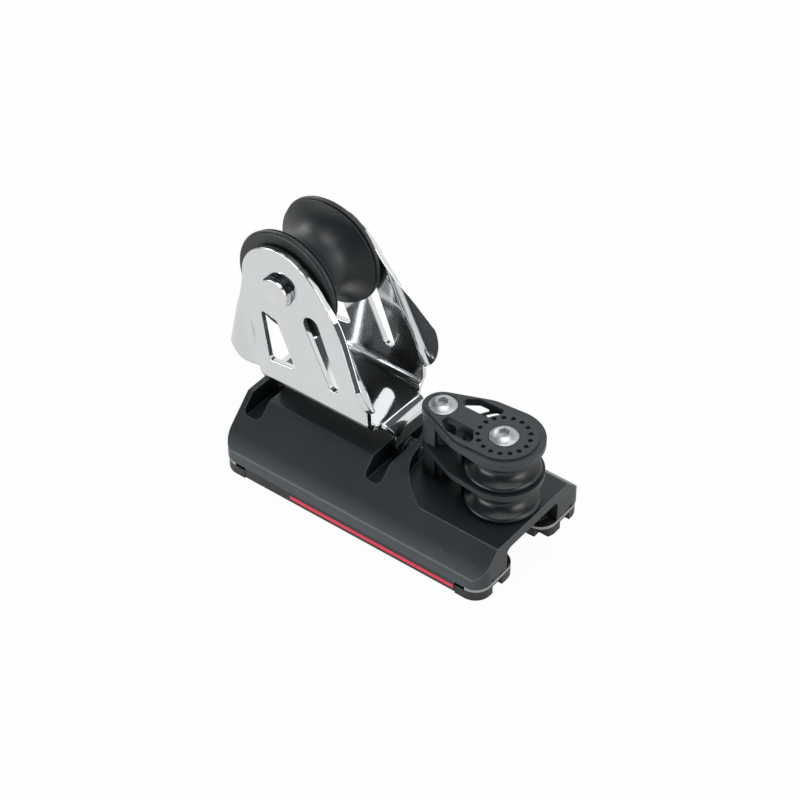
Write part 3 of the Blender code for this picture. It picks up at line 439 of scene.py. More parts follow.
def end_recess(along, across):
    """The shallow L-shaped recess in the body's end face, just above the band."""
    low, high = LOBE_BOTTOM - MM, LOBE_BOTTOM + 2.2 * MM
    outer, step = RETURN_ROW + 2 * MM, 1.2 * MM
    shape = [(CIRCUIT_Y, low), (outer, low), (outer, high), (outer - 2 * MM, high)]
    shape += [(outer - 2 * MM, high - step), (CIRCUIT_Y, high - step)]
    near, far = along * (END - 1.4 * MM), along * (END + 2 * MM)
    return prism([(across * y, z) for y, z in shape], min(near, far), max(near, far), "X")


def block_holes(radius, low, high, steps):
    """Cutters for the holes of the block's two screws, at its centre and its nose."""
    return [rod(radius, low, high, (x, 0, 0), steps) for x in (BLOCK_X, NOSE_X)]


def cap_screw_place(along, across):
    return along * (END - CORNER_RADIUS), across * (SIDE - CORNER_RADIUS / 2), 0


def car_body():
    body = new_object("milled_body", prism(body_section(), -END, END, "X"))
    past = END + 5 * MM
    pocket = arc((POCKET_X, 0), POCKET_RADIUS, radians(90), radians(270), 72)
    pocket += [(past, -POCKET_RADIUS), (past, POCKET_RADIUS)]
    cuts = [prism(pocket, DECK_TOP, RIDGE_TOP * 2)]
    for start, width in (REAR_SLOT, FRONT_SLOT):
        slot = oblong(start, -SLOT_HALF_LENGTH, start + width, SLOT_HALF_LENGTH)
        cuts.append(prism(rounded(slot, SLOT_ROUND, 10), SLOT_FLOOR, RIDGE_TOP * 2))
    machine(body, cuts)
    plan = rounded(oblong(-END, -SIDE, END, SIDE), CORNER_RADIUS, 14)
    machine(body, [prism(plan, 0, RIDGE_TOP * 2)], "INTERSECT")
    cuts = [rod(PIN_BORE, -past, POCKET_X - POCKET_RADIUS + 3 * MM, (0, 0, PIN_Z), 40, "X")]
    cuts += block_holes(SCREW_BORE, CHANNEL_TOP - MM, DECK_TOP + MM, 32)
    for along in ENDS.values():
        for across in SIDES.values():
            screw_hole = rod(1.8 * MM, 0, 13.2 * MM, cap_screw_place(along, across), 20)
            cuts += [end_recess(along, across), screw_hole]
    machine(body, cuts)
    dress(body, "car", anodised(), ["car_body"], edge=0.22 * MM)
    body.data.materials.append(painted_edge_highlight())
    # The bevel faces take the second material, a grey painted highlight along the machined edges.
    body.modifiers["broken_edges"].material = 1
    body.modifiers["broken_edges"].use_clamp_overlap = False


car_body()

# Under each lobe: moulded end caps that turn the balls, screwed up into the body, and polished steel
# bands let into their outer edge, which start a little past the strip and leave a dark gap there.
GAP = 0.3 * MM
CAP_START = END - GAP - 14.2 * MM
LIP_HALF = 10.9 * MM
INNER_CORNER = 8.4 * MM
BAND_THICKNESS = 1.3 * MM
BAND_HEIGHT = 1.7 * MM
BAND_LENGTH = 8.7 * MM
CAP_TOP = LOBE_BOTTOM - GAP
BALL_RADIUS = 2.9 * MM
BALL_Z = 4 * MM
TURN_RADIUS = 7.5 * MM
RACE_HALF = 3.2 * MM
CAP_SCREW_RADIUS = 1.5 * MM
CAP_SCREW_HEAD = 2.8 * MM
RECESS_ARM = (1.7 * MM, 0.4 * MM)
FOOT_GAPS = ((23.3 * MM, 30.7 * MM, 2.8 * MM), (10 * MM, 15 * MM, 6.2 * MM))


def moulded(name, light=1.0):
    """Black glass-filled nylon: a fine spark-eroded skin, slightly uneven in gloss. Its light factor scales
    the colour up, which paints in light falling on it.
    """
    made, shader, place = finish(name, (0.012, 0.013, 0.015), 0.45)
    skin = noise(place, 1500, 3)
    cloud = noise(place, 60, 2)
    low, high = [v * light for v in (0.008, 0.0105, 0.012)], [v * light for v in (0.013, 0.017, 0.019)]
    blend_colours(cloud, low, high).feed(shader, "Base Color")
    (cloud * 0.12 + 0.36).feed(shader, "Roughness")
    bump(skin, shader, 0.02 * MM)
    return made


def satin_metal(name, colour, roughness, stretch=(1, 1, 1), scale=700):
    """Stainless steel with a fine grain along one way."""
    made, shader, place = finish(name, colour, roughness, 1.0)
    grain = noise(place, scale, 3, stretch)
    cloud = noise(place, 90, 2)
    dull, bright = [v * 0.92 for v in colour], [min(v * 1.06, 1) for v in colour]
    blend_colours(cloud, dull, bright).feed(shader, "Base Color")
    (grain * 0.12 + (roughness - 0.06)).feed(shader, "Roughness")
    bump(grain, shader, 0.0008 * MM)
    return made


NYLON = moulded("black_nylon")
BAND_STEEL = satin_metal("band_steel", (0.4, 0.405, 0.4), 0.3, (1, 1, 0.05))
SCREW_STEEL = satin_metal("screw_steel", (0.5, 0.515, 0.525), 0.42, scale=1600)


def cap_outline(along, across, inset, start=CAP_START):
    corners = oblong(start, LIP_HALF + inset, END - GAP - inset, SIDE - GAP - inset)
    radii = [0, INNER_CORNER - inset, CORNER_RADIUS - inset, 0]
    return [(along * x, across * y) for x, y in rounded(corners, radii, 14)]


def end_cap(name, along, across):
    seat = CAP_TOP - BAND_HEIGHT - 0.15 * MM
    cap = new_object(name, prism(cap_outline(along, across, 0), 0, seat))
    lip = cap_outline(along, across, BAND_THICKNESS + GAP)
    machine(cap, [prism(lip, seat - MM, CAP_TOP)], "UNION")
    turns = []
    for radius in (TURN_RADIUS + RACE_HALF, TURN_RADIUS - RACE_HALF):
        points = arc((CAP_START, CIRCUIT_Y), radius, radians(90), radians(-90), 24)
        points = [(CAP_START - MM, points[0][1])] + points + [(CAP_START - MM, points[-1][1])]
        turns.append([(along * x, across * y) for x, y in points])
    cuts = [prism(turns[0] + turns[1][::-1], BALL_Z - BALL_RADIUS - GAP, CAP_TOP + MM)]
    for low, high, depth in FOOT_GAPS:
        notch = oblong(along * (END - GAP - depth), across * low, along * (END + MM), across * high)
        cuts.append(prism(notch, -MM, 4.4 * MM))
    sink, radius = CAP_SCREW_HEAD + GAP, CAP_SCREW_RADIUS + GAP
    hole = [(0, -MM), (sink, -MM), (sink, 1.2 * MM), (radius, 3 * MM), (radius, 8 * MM), (0, 8 * MM)]
    cuts.append(lathe(hole, cap_screw_place(along, across), "Z", 28, False))
    machine(cap, cuts)
    dress(cap, "car", NYLON, [name], edge=0.25 * MM)


def ball_band(name, along, across):
    start = END - GAP - BAND_LENGTH
    outline = cap_outline(along, across, 0, start) + cap_outline(along, across, BAND_THICKNESS, start)[::-1]
    band = new_object(name, prism(outline, CAP_TOP - BAND_HEIGHT, CAP_TOP))
    dress(band, "car", BAND_STEEL, [name], edge=0.2 * MM)


def cap_screw(name, along, across):
    """A countersunk screw, seen from under the car, with a crossed recess."""
    low = 0.4 * MM
    outline = [(0, low), (CAP_SCREW_HEAD, low), (CAP_SCREW_HEAD, low + 0.6 * MM)]
    outline += [(CAP_SCREW_RADIUS, low + 2.2 * MM), (CAP_SCREW_RADIUS, 12 * MM), (0, 12 * MM)]
    x, y, foot = cap_screw_place(along, across)
    screw = new_object(name, lathe(outline, (x, y, foot), "Z", 40, False))
    arms = []
    for wide, deep in (RECESS_ARM, RECESS_ARM[::-1]):
        arms.append(prism(oblong(x - wide, y - deep, x + wide, y + deep), -MM, 1.5 * MM))
    machine(screw, arms)
    dress(screw, "car", SCREW_STEEL, [name], edge=0.12 * MM)


for side, across in SIDES.items():
    for end, along in ENDS.items():
        end_cap(f"{side}_{end}_end_cap", along, across)
        ball_band(f"{side}_{end}_ball_band", along, across)
        cap_screw(f"{side}_{end}_cap_screw", along, across)

# The ball trays and the side strips. Each tray is a moulded length with two open races, and each
# strip is a slim moulding snapped along its outer edge, with a red line let into it.
STRIP_THICKNESS = 2.5 * MM
STRIP_LIFT = 0.5 * MM
LINE_LOW = 2.5 * MM
LINE_HIGH = 4.6 * MM
LINE_START = -35 * MM
STRIP_REACH = CAP_START - GAP
LOADED_ROW = 15.2 * MM
RED = (0.86, 0.03, 0.075)


def strip_plastic():
    """Black moulding with a red line in its outer face; the line stops short at the rear."""
    made, shader, place = finish("strip_plastic", (0.012, 0.013, 0.015), 0.4)
    x, y, z = [place.node("ShaderNodeSeparateXYZ", {0: place}, out=i) for i in range(3)]
    low, high = LINE_LOW + FEET, LINE_HIGH + FEET
    outer = y.math("ABSOLUTE", y) > (SIDE - 2 * GAP)
    inside = (z > low) * (z < high) * (x > LINE_START) * (x < STRIP_REACH - 2 * GAP) * outer
    cloud = noise(place, 70, 2)
    black = blend_colours(cloud, (0.008, 0.009, 0.011), (0.016, 0.018, 0.021))
    red = blend_colours(cloud, [v * 0.9 for v in RED], RED)
    blend_colours(inside, black, red).feed(shader, "Base Color")
    (cloud * 0.1 + 0.36).feed(shader, "Roughness")
    bump(noise(place, 1500, 2), shader, 0.012 * MM)
    return made


STRIP_PLASTIC = strip_plastic()


def side_strip(name, across):
    corners = oblong(SIDE - GAP - STRIP_THICKNESS, STRIP_LIFT, SIDE - GAP, CAP_TOP)
    section = [(across * y, z) for y, z in rounded(corners, [0, 0.6 * MM, 0.5 * MM, 0], 6)]
    strip = new_object(name, prism(section, -STRIP_REACH, STRIP_REACH, "X"))
    dress(strip, "car", STRIP_PLASTIC, [name], edge=0.15 * MM)


def ball_tray(name, across):
    low, wall = STRIP_LIFT, SIDE - GAP - STRIP_THICKNESS - GAP
    section = [(LIP_HALF, low), (wall, low), (wall, CAP_TOP)]
    for row in (RETURN_ROW, LOADED_ROW):
        section += [(row + RACE_HALF, CAP_TOP)] + arc((row, BALL_Z), RACE_HALF, 0, -pi, 18)
        section += [(row - RACE_HALF, CAP_TOP)]
    section += [(LIP_HALF, CAP_TOP)]
    tray = new_object(name, prism([(across * y, z) for y, z in section], -STRIP_REACH, STRIP_REACH, "X"))
    dress(tray, "car", NYLON, [name], edge=0.2 * MM)


for side, across in SIDES.items():
    side_strip(f"{side}_side_strip", across)
    ball_tray(f"{side}_ball_tray", across)

# The balls. Each lobe holds one endless train of polymer balls, which run loaded beside the track and
# return through the tray's outer race. They are placed along the circuit's path by rule.
BALL_COUNT = 34


def node_tree(name, sizes):
    """A geometry tree with named size inputs; gives the tree, its input wires and its start."""
    tree = bpy.data.node_groups.new(name, "GeometryNodeTree")
    tree.interface.new_socket("Geometry", in_out="OUTPUT", socket_type="NodeSocketGeometry")
    for size, value in sizes.items():
        kind = "NodeSocketInt" if isinstance(value, int) else "NodeSocketFloat"
        tree.interface.new_socket(size, in_out="INPUT", socket_type=kind)
    start = tree.nodes.new("NodeGroupInput")
    return tree, {size: Wire(tree, start.outputs[size]) for size in sizes}


def grown(name, tree, sizes, geometry, coat, place):
    """Ends a geometry tree, runs it with its sizes, and keeps the result as a plain mesh."""
    real = geometry.node("GeometryNodeRealizeInstances", {0: geometry})
    painted = real.node("GeometryNodeSetMaterial", {0: real, "Material": coat})
    painted.feed(tree.nodes.new("NodeGroupOutput"), 0)
    item = linked(name, bpy.data.meshes.new(name))
    step = item.modifiers.new(name, "NODES")
    step.node_group = tree
    for socket in tree.interface.items_tree:
        if socket.in_out == "INPUT":
            step[socket.identifier] = sizes[socket.name]
    settled(item)
    item.data.transform(Matrix.Translation(place))
    return item


def ball_polymer():
    made, shader, place = finish("ball_polymer", (0.3, 0.28, 0.22), 0.32)
    cloud = noise(place, 300, 2)
    blend_colours(cloud, (0.26, 0.24, 0.19), (0.36, 0.34, 0.28)).feed(shader, "Base Color")
    (cloud * 0.15 + 0.25).feed(shader, "Roughness")
    return made


POLYMER = ball_polymer()


def ball_train(name, across):
    sizes = {"Length": 2 * (CAP_START + TURN_RADIUS), "Width": 2 * TURN_RADIUS, "Ball": BALL_RADIUS,
             "Cord": 0.7 * MM, "Balls": BALL_COUNT}
    tree, size = node_tree("endless_train", sizes)
    track = size["Length"].node("GeometryNodeCurvePrimitiveQuadrilateral",
                                {0: size["Length"], 1: size["Width"]})
    bends = {0: track, "Count": 16, "Radius": size["Width"] * 0.4999}
    path = track.node("GeometryNodeFilletCurve", bends, mode="POLY")
    spaced = path.node("GeometryNodeResampleCurve", {0: path, "Count": size["Balls"]})
    shape = {"Segments": 20, "Rings": 12, "Radius": size["Ball"]}
    ball = size["Ball"].node("GeometryNodeMeshUVSphere", shape)
    balls = spaced.node("GeometryNodeInstanceOnPoints", {"Points": spaced, "Instance": ball})
    ring = size["Cord"].node("GeometryNodeCurvePrimitiveCircle", {"Resolution": 8, "Radius": size["Cord"]})
    cord = path.node("GeometryNodeCurveToMesh", {"Curve": path, "Profile Curve": ring})
    both = balls.node("GeometryNodeJoinGeometry", {})
    for part in (balls, cord):
        part.feed(both.socket.node, 0)
    train = grown(name, tree, sizes, both, POLYMER, (0, across * CIRCUIT_Y, BALL_Z))
    dress(train, "car", POLYMER, [name], corner=60)


for side, across in SIDES.items():
    ball_train(f"{side}_ball_train", across)

# The pivot. A steel pin lies along the ridge through both slots, held by a clip at the rear, with
# polymer washers on each side of the cage's tabs so that the cage leans freely.
PIN_RADIUS = 2.9 * MM
REAR_TAB_FACE = -68.4 * MM
FRONT_TAB_FACE = 6.2 * MM
SHEET = 3 * MM
WASHER_BORE = PIN_RADIUS + 0.15 * MM
WASHER_RADIUS = 4.6 * MM


def ring(name, inner, outer, low, high, place, axis, steps):
    """A plain ring, such as a washer, from low to high along its axis."""
    return new_object(name, lathe(oblong(inner, low, outer, high), place, axis, steps))


def pivot():
    rear, front, ease = -END + GAP, POCKET_X - POCKET_RADIUS - GAP, 0.5 * MM
    outline = [(0, rear), (PIN_RADIUS - ease, rear), (PIN_RADIUS, rear + ease)]
    outline += [(PIN_RADIUS, front - ease), (PIN_RADIUS - ease, front), (0, front)]
    pin = new_object("pivot_rod", lathe(outline, (0, 0, PIN_Z), "X", 56, False))
    dress(pin, "car", SCREW_STEEL, ["pivot_pin"], corner=30)
    start, width = REAR_SLOT
    clip_end = start + GAP + MM
    steel, nylon = (SCREW_STEEL, "satin_steel"), (NYLON, "black_plastic")
    rings = {
        "pivot_clip": (start + GAP, clip_end, steel),
        "rear_outer_washer": (clip_end + GAP, REAR_TAB_FACE - GAP, nylon),
        "rear_inner_washer": (REAR_TAB_FACE + SHEET + GAP, start + width - GAP, nylon),
        "front_inner_washer": (FRONT_SLOT[0] + GAP, FRONT_TAB_FACE - SHEET - GAP, nylon),
        "front_outer_washer": (FRONT_TAB_FACE + GAP, sum(FRONT_SLOT) - GAP, nylon),
    }
    for name, (low, high, (coat, slot)) in rings.items():
        made = ring(name + "_ring", WASHER_BORE, WASHER_RADIUS, low, high, (0, 0, PIN_Z), "X", 48)
        dress(made, "car", coat, [name], edge=0.12 * MM)


pivot()

# The cage. One sheet of stainless steel, 3 mm thick, with its windows cut while flat. It is folded up
# into two cheeks, its edges are flared out into four stiffening wings, and it is polished bright.
CAGE_HALF = 22.5 * MM
CAGE_FLOOR_TOP = 50.8 * MM
FOLD_MIDDLE = 5.5 * MM
AXLE_X = -53.1 * MM
AXLE_Z = 109.7 * MM
AXLE_BORE = 8 * MM
HEAD_RADIUS = 22 * MM
HEAD = (-0.3 * MM, 0.4 * MM)
CROWN_START = radians(186)
CROWN_LINE = radians(50)
CROWN_STEPS = 60
BLEND_RADIUS = 42 * MM
FRONT_LEAN = radians(25.4)
REAR_LEAN = radians(9.3)
CHEEK_TOE = 54.8 * MM
CHEEK_TOE_Z = -54.9 * MM
# Each wing: its top and its end, measured from the axle, the share down to its shoulder, and its reach.
REAR_WING = (-2 * MM, -53 * MM, 0.7, 12.3 * MM)
FRONT_WING = (5 * MM, -47 * MM, 0.7, 11.5 * MM)
WING_FLARE = radians(60)
WING_BEND = 5 * MM
WING_STEP = 1.15 * MM
TOE_RELIEF = 3.5 * MM
WINDOW = [(-11.8 * MM, -17 * MM), (-2.4 * MM, -19.2 * MM), (8.4 * MM, -43.5 * MM), (-7.2 * MM, -45.5 * MM)]
FLOOR_ENDS = (-63.4 * MM, -0.3 * MM)
FOLD_CORNERS = (-64.9 * MM, -2.4 * MM)
FOLD_STEPS = 9
COLUMNS = 28
TAB_HALF = 14 * MM
TAB_WAIST = 2.6 * MM
TAB_END = 6 * MM
FLOOR_ROWS = [TAB_HALF * share / 6 for share in range(-6, 7)]
FLOOR_MIDDLE = CAGE_FLOOR_TOP - SHEET / 2
CHEEK_MIDDLE = CAGE_HALF - SHEET / 2
FOOT_Z = FLOOR_MIDDLE + FOLD_MIDDLE - AXLE_Z


def polished():
    """Mirror-polished stainless steel with faint smears and the soft unevenness of hand polishing."""
    made, shader, place = finish("polished_steel", (0.71, 0.72, 0.73), 0.06, 1.0)
    smear = noise(place, 60, 3, (1, 1, 0.4))
    hair = noise(place, 1400, 2, (1, 1, 0.06))
    blend_colours(smear, (0.68, 0.695, 0.7), (0.74, 0.755, 0.765)).feed(shader, "Base Color")
    (smear * 0.07 + hair * 0.05 + 0.02).feed(shader, "Roughness")
    bump(noise(place, 28, 1), shader, 0.06 * MM)
    return made


def front_edge(z):
    """Where the cheek ends towards the block, at a height from the axle: head arc, blend and line."""
    lean, (hx, hz) = FRONT_LEAN, HEAD
    reach = (CHEEK_TOE - hx) * cos(lean) + (CHEEK_TOE_Z - hz) * sin(lean)
    meet = lean + acos((BLEND_RADIUS - reach) / (BLEND_RADIUS - HEAD_RADIUS))
    bx, bz = [c + (HEAD_RADIUS - BLEND_RADIUS) * f(meet) for c, f in ((hx, cos), (hz, sin))]
    if z > bz + BLEND_RADIUS * sin(meet):
        return hx + sqrt(max(HEAD_RADIUS**2 - (z - hz) ** 2, 0))
    if z > bz + BLEND_RADIUS * sin(lean):
        return bx + sqrt(BLEND_RADIUS**2 - (z - bz) ** 2)
    relief = TOE_RELIEF * min(max(-46 * MM - z, 0) / (7 * MM), 1) ** 1.5
    return hx + (reach - (z - hz) * sin(lean)) / cos(lean) - relief


def rear_edge(z):
    flat = HEAD[1] - HEAD_RADIUS * sin(REAR_LEAN)
    if z > flat:
        return HEAD[0] - sqrt(max(HEAD_RADIUS**2 - (z - HEAD[1]) ** 2, 0))
    return HEAD[0] - HEAD_RADIUS * cos(REAR_LEAN) + (flat - z) * tan(REAR_LEAN)


def wing_row(z, top, bottom, shoulder, most):
    """How far out each point of the wing lies at a height: straight to its shoulder, then a round end."""
    share = (top - z) / (top - bottom)
    width = most * share / shoulder
    if share > shoulder:
        width = most * sqrt(max(1 - ((share - shoulder) / (1 - shoulder)) ** 2, 0))
    outs = [min(WING_STEP * k, width) for k in range(round(most / WING_STEP) + 2)]
    return [0] + [width if width - out < WING_STEP / 2 else out for out in outs[1:]]


def wing_point(edge, along, out, z):
    """A point of the sheet's middle, at a distance out round the bend from the cheek's edge."""
    curve = WING_BEND * WING_FLARE
    turn = min(out, curve) / WING_BEND
    straight = max(out - curve, 0)
    x = edge + along * (WING_BEND * sin(turn) + straight * cos(WING_FLARE))
    return x, z, WING_BEND * (1 - cos(turn)) + straight * sin(WING_FLARE)


def levels(top, bottom, shoulder):
    """Heights down a wing: even to its shoulder, then evenly turned round its end."""
    turn = top + (bottom - top) * shoulder
    straight = [top + (turn - top) * i / 26 for i in range(26)]
    return straight + [turn + (bottom - turn) * sin(radians(i * 10)) for i in range(10)]


def capsule(start, start_radius, stop, stop_radius, steps):
    """The outline of a tapered slot between two circles."""
    run = Vector(stop) - Vector(start)
    heading = atan2(run.y, run.x)
    side = pi / 2 - asin((start_radius - stop_radius) / run.length)
    first = arc(start, start_radius, heading + side, heading + 2 * pi - side, steps + 2)
    return first + arc(stop, stop_radius, heading - side, heading + side, steps)


def whole_circle(centre, radius, points):
    """A circle's outline, whose last point isn't its first."""
    return arc(centre, radius, 0, 2 * pi * (points - 1) / points, points - 1)


def crown():
    """The head's edge between the two wings, from the rear one to the front one."""
    stop = atan2(FRONT_WING[0] - HEAD[1], front_edge(FRONT_WING[0]) - HEAD[0])
    points = []
    for i in range(1, CROWN_STEPS):
        a = CROWN_START + (stop - CROWN_START) * i / CROWN_STEPS
        z = HEAD[1] + HEAD_RADIUS * sin(a)
        x = HEAD[0] + HEAD_RADIUS * cos(a) if a > CROWN_LINE else front_edge(z)
        if z > REAR_WING[0]:
            points.append((x, z))
    return points


def spread(start, stop):
    """Even places from one edge of the sheet to the other, one for each column of points."""
    return [start + (stop - start) * k / COLUMNS for k in range(COLUMNS + 1)]


def sheet_point(work, across, x, z, out=0):
    """A point of a cheek's middle, measured from the axle, or of a wing, which lies further out."""
    return work.verts.new((AXLE_X + x, across * (CHEEK_MIDDLE + out), AXLE_Z + z))


def stitch(work, rows):
    for one, two in zip(rows, rows[1:]):
        for i in range(len(one) - 1):
            work.faces.new((one[i], one[i + 1], two[i + 1], two[i]))


def fill(work, loops, normal):
    """Fills a flat outline and leaves the holes in it open."""
    edges = []
    for loop in loops:
        pairs = zip(loop, loop[1:] + loop[:1])
        edges += [work.edges.get(pair) or work.edges.new(pair) for pair in pairs]
    bmesh.ops.triangle_fill(work, edges=edges, use_beauty=True, normal=normal)


def cheek_and_wings(work, across):
    """One cheek with its windows and its two wings. Gives the points of its foot."""
    foot = [sheet_point(work, across, x, FOOT_Z) for x in spread(rear_edge(FOOT_Z), front_edge(FOOT_Z))]
    front = [sheet_point(work, across, front_edge(z), z) for z in reversed(levels(*FRONT_WING[:3]))]
    rear = [sheet_point(work, across, rear_edge(z), z) for z in levels(*REAR_WING[:3])]
    head = [sheet_point(work, across, x, z) for x, z in crown()]
    holes = [rounded(WINDOW, 1.8 * MM, 5)]
    holes.append(capsule((18.4 * MM, -11.8 * MM), 4.4 * MM, (31 * MM, -42 * MM), 3.2 * MM, 12))
    holes.append(whole_circle((0, 0), AXLE_BORE, 64))
    rings = [[sheet_point(work, across, x, z) for x, z in hole] for hole in holes]
    fill(work, [foot + front + head[::-1] + rear] + rings, (0, 1, 0))
    for edge, along, wing in ((front_edge, 1, FRONT_WING), (rear_edge, -1, REAR_WING)):
        rows = []
        for z in levels(*wing[:3]):
            places = [wing_point(edge(z), along, out, z) for out in wing_row(z, *wing)]
            rows.append([sheet_point(work, across, *place) for place in places])
        stitch(work, rows)
    return foot


def cage_floor(work, foot):
    """The two folds and the floor between them, from the right cheek's foot to the left one's."""
    rows = [[work.verts.new(v.co) for v in foot]]
    feet = (AXLE_X + rear_edge(FOOT_Z), AXLE_X + front_edge(FOOT_Z))
    for i in range(1, FOLD_STEPS + 1):
        ease, a = i / FOLD_STEPS, radians(90) * i / FOLD_STEPS
        sides = []
        for low, high, corner in zip(feet, FLOOR_ENDS, FOLD_CORNERS):
            sides.append(low * (1 - ease) + high * ease + sin(a * 2) * (corner - (low + high) / 2))
        y, z = CHEEK_MIDDLE - FOLD_MIDDLE * (1 - cos(a)), FLOOR_MIDDLE + FOLD_MIDDLE * (1 - sin(a))
        rows.append([work.verts.new((x, -y, z)) for x in spread(*sides)])
    flat = [[work.verts.new((x, y, FLOOR_MIDDLE)) for x in spread(*FLOOR_ENDS)] for y in FLOOR_ROWS]
    mirrored = [[work.verts.new((v.co.x, -v.co.y, v.co.z)) for v in row] for row in reversed(rows)]
    stitch(work, rows + flat + mirrored)
    return flat


def cage_tab(work, edge, start, face):
    """A tab: round its bend, then down with a waist to a round end about the pin."""
    reach, along = abs(face - start), 1 if face > start else -1
    strip = [edge]
    for i in range(1, 9):
        a = radians(90) * i / 8
        half = TAB_HALF - TAB_WAIST * (1 - cos(a))
        x, z = start + along * reach * sin(a), FLOOR_MIDDLE - reach * (1 - cos(a))
        strip.append([work.verts.new((x, y / TAB_HALF * half, z)) for y in FLOOR_ROWS])
    stitch(work, strip)
    high, low = FLOOR_MIDDLE - reach, PIN_Z + 1.2 * MM
    side = []
    for i in range(1, 13):
        t = i / 13
        side.append((TAB_END + (TAB_HALF - TAB_WAIST - TAB_END) * (1 - t**4), high + (low - high) * t))
    outline = side + arc((0, PIN_Z), TAB_END, radians(10), radians(-190), 26)
    outline += [(-y, z) for y, z in reversed(side)]
    ends = [work.verts.new((face, y, z)) for y, z in outline]
    hole = [work.verts.new((face, y, z)) for y, z in whole_circle((0, PIN_Z), PIN_BORE, 32)]
    fill(work, [strip[-1] + ends, hole], (1, 0, 0))


def sheave_cage():
    work = bmesh.new()
    feet = [cheek_and_wings(work, across) for across in SIDES.values()]
    flat = cage_floor(work, feet[0])
    rear, front = FLOOR_ENDS
    cage_tab(work, [row[-1] for row in flat], front, FRONT_TAB_FACE - SHEET / 2)
    cage_tab(work, [row[0] for row in flat], rear, REAR_TAB_FACE + SHEET / 2)
    bmesh.ops.remove_doubles(work, verts=work.verts, dist=0.01 * MM)
    cage = new_object("folded_cage", work)
    thick = cage.modifiers.new("sheet", "SOLIDIFY")
    thick.thickness, thick.offset = SHEET, 0
    settled(cage)
    dress(cage, "cage", polished(), ["sheave_cage"], edge=0.4 * MM, corner=50)
    cage.modifiers["broken_edges"].segments = 3
    cage.modifiers["broken_edges"].use_clamp_overlap = False
    level = cage.modifiers.new("even_shading", "WEIGHTED_NORMAL")
    level.keep_sharp = True


sheave_cage()

# The main sheave. Turned from black anodised bar to an hourglass, with a fine groove in each rolled
# rim, it spins on a ring of rollers between two polymer thrust washers.
SHEAVE_RADIUS = 28.3 * MM
SHEAVE_HALF = 17.7 * MM
SHEAVE_THROAT = 17.4 * MM
SHEAVE_BORE = 11.4 * MM
AXLE_RADIUS = 7.8 * MM
AXLE_CENTRE = (AXLE_X, 0, AXLE_Z)


def turned_black(name, centre, axis, low, high, rough):
    """Black turned metal: fine rings left by the tool, about its own axis."""
    made, shader, place = finish(name, high, rough)
    spot = (-centre[0], -centre[1], -centre[2] - FEET)
    shifted = place.node("ShaderNodeMapping", {"Vector": place, "Location": spot})
    parts = [shifted.node("ShaderNodeSeparateXYZ", {0: shifted}, out=i) for i in range(3)]
    one, two = (parts[0], parts[2]) if axis == "Y" else (parts[0], parts[1])
    radius = one.math("SQRT", one * one + two * two)
    rings = radius.math("SINE", radius * 9000)
    cloud = noise(place, 70, 2)
    blend_colours(cloud, low, high).feed(shader, "Base Color")
    (cloud * 0.1 + rings * 0.02 + rough).feed(shader, "Roughness")
    bump(rings * 0.5 + 0.5, shader, 0.0015 * MM)
    return made


def rolled_edge(radius, face, wide, deep, step):
    """The quarter round of a rim from its face to its edge, with a point every few degrees."""
    angles = [radians(v) for v in range(step, 91, step)]
    return [(radius + wide * sin(a), -face + deep * (1 - cos(a))) for a in angles]


def throat(radius, deep, half, steps, power=2.3):
    """A sheave's groove, from one rim to the other."""
    shares = [i / steps for i in range(-steps, steps + 1)]
    return [(deep + (radius - deep) * abs(share) ** power, half * share) for share in shares]


def main_sheave():
    top, face, hub = SHEAVE_RADIUS, SHEAVE_HALF, SHEAVE_HALF - MM
    rim = face - 3.2 * MM
    side = [(SHEAVE_BORE, -hub), (17 * MM, -hub), (18 * MM, -face), (top - 1.9 * MM, -face)]
    side += rolled_edge(top - 1.9 * MM, face, 1.9 * MM, 1.7 * MM, 15)
    # The fine groove in the rim: how far each point lies in from the rim's edge and from its middle.
    fine_groove = ((0.35, -0.75), (1.2, -0.4), (1.8, -0.2), (1.8, 0.2), (1.1, 0.4), (0.75, 0.6))
    side += [(top - deep * MM, -rim + along * MM) for deep, along in fine_groove]
    groove = throat(top - 0.8 * MM, SHEAVE_THROAT, rim - 0.9 * MM, 26)
    profile = side + groove + [(r, -y) for r, y in reversed(side)]
    sheave = new_object("turned_main_sheave", lathe(profile, AXLE_CENTRE, "Y", 144))
    black, worn = (0.008, 0.011, 0.013), (0.014, 0.018, 0.02)
    coat = turned_black("turned_black", AXLE_CENTRE, "Y", black, worn, 0.4)
    dress(sheave, "main_sheave", coat, ["main_sheave"], corner=40)


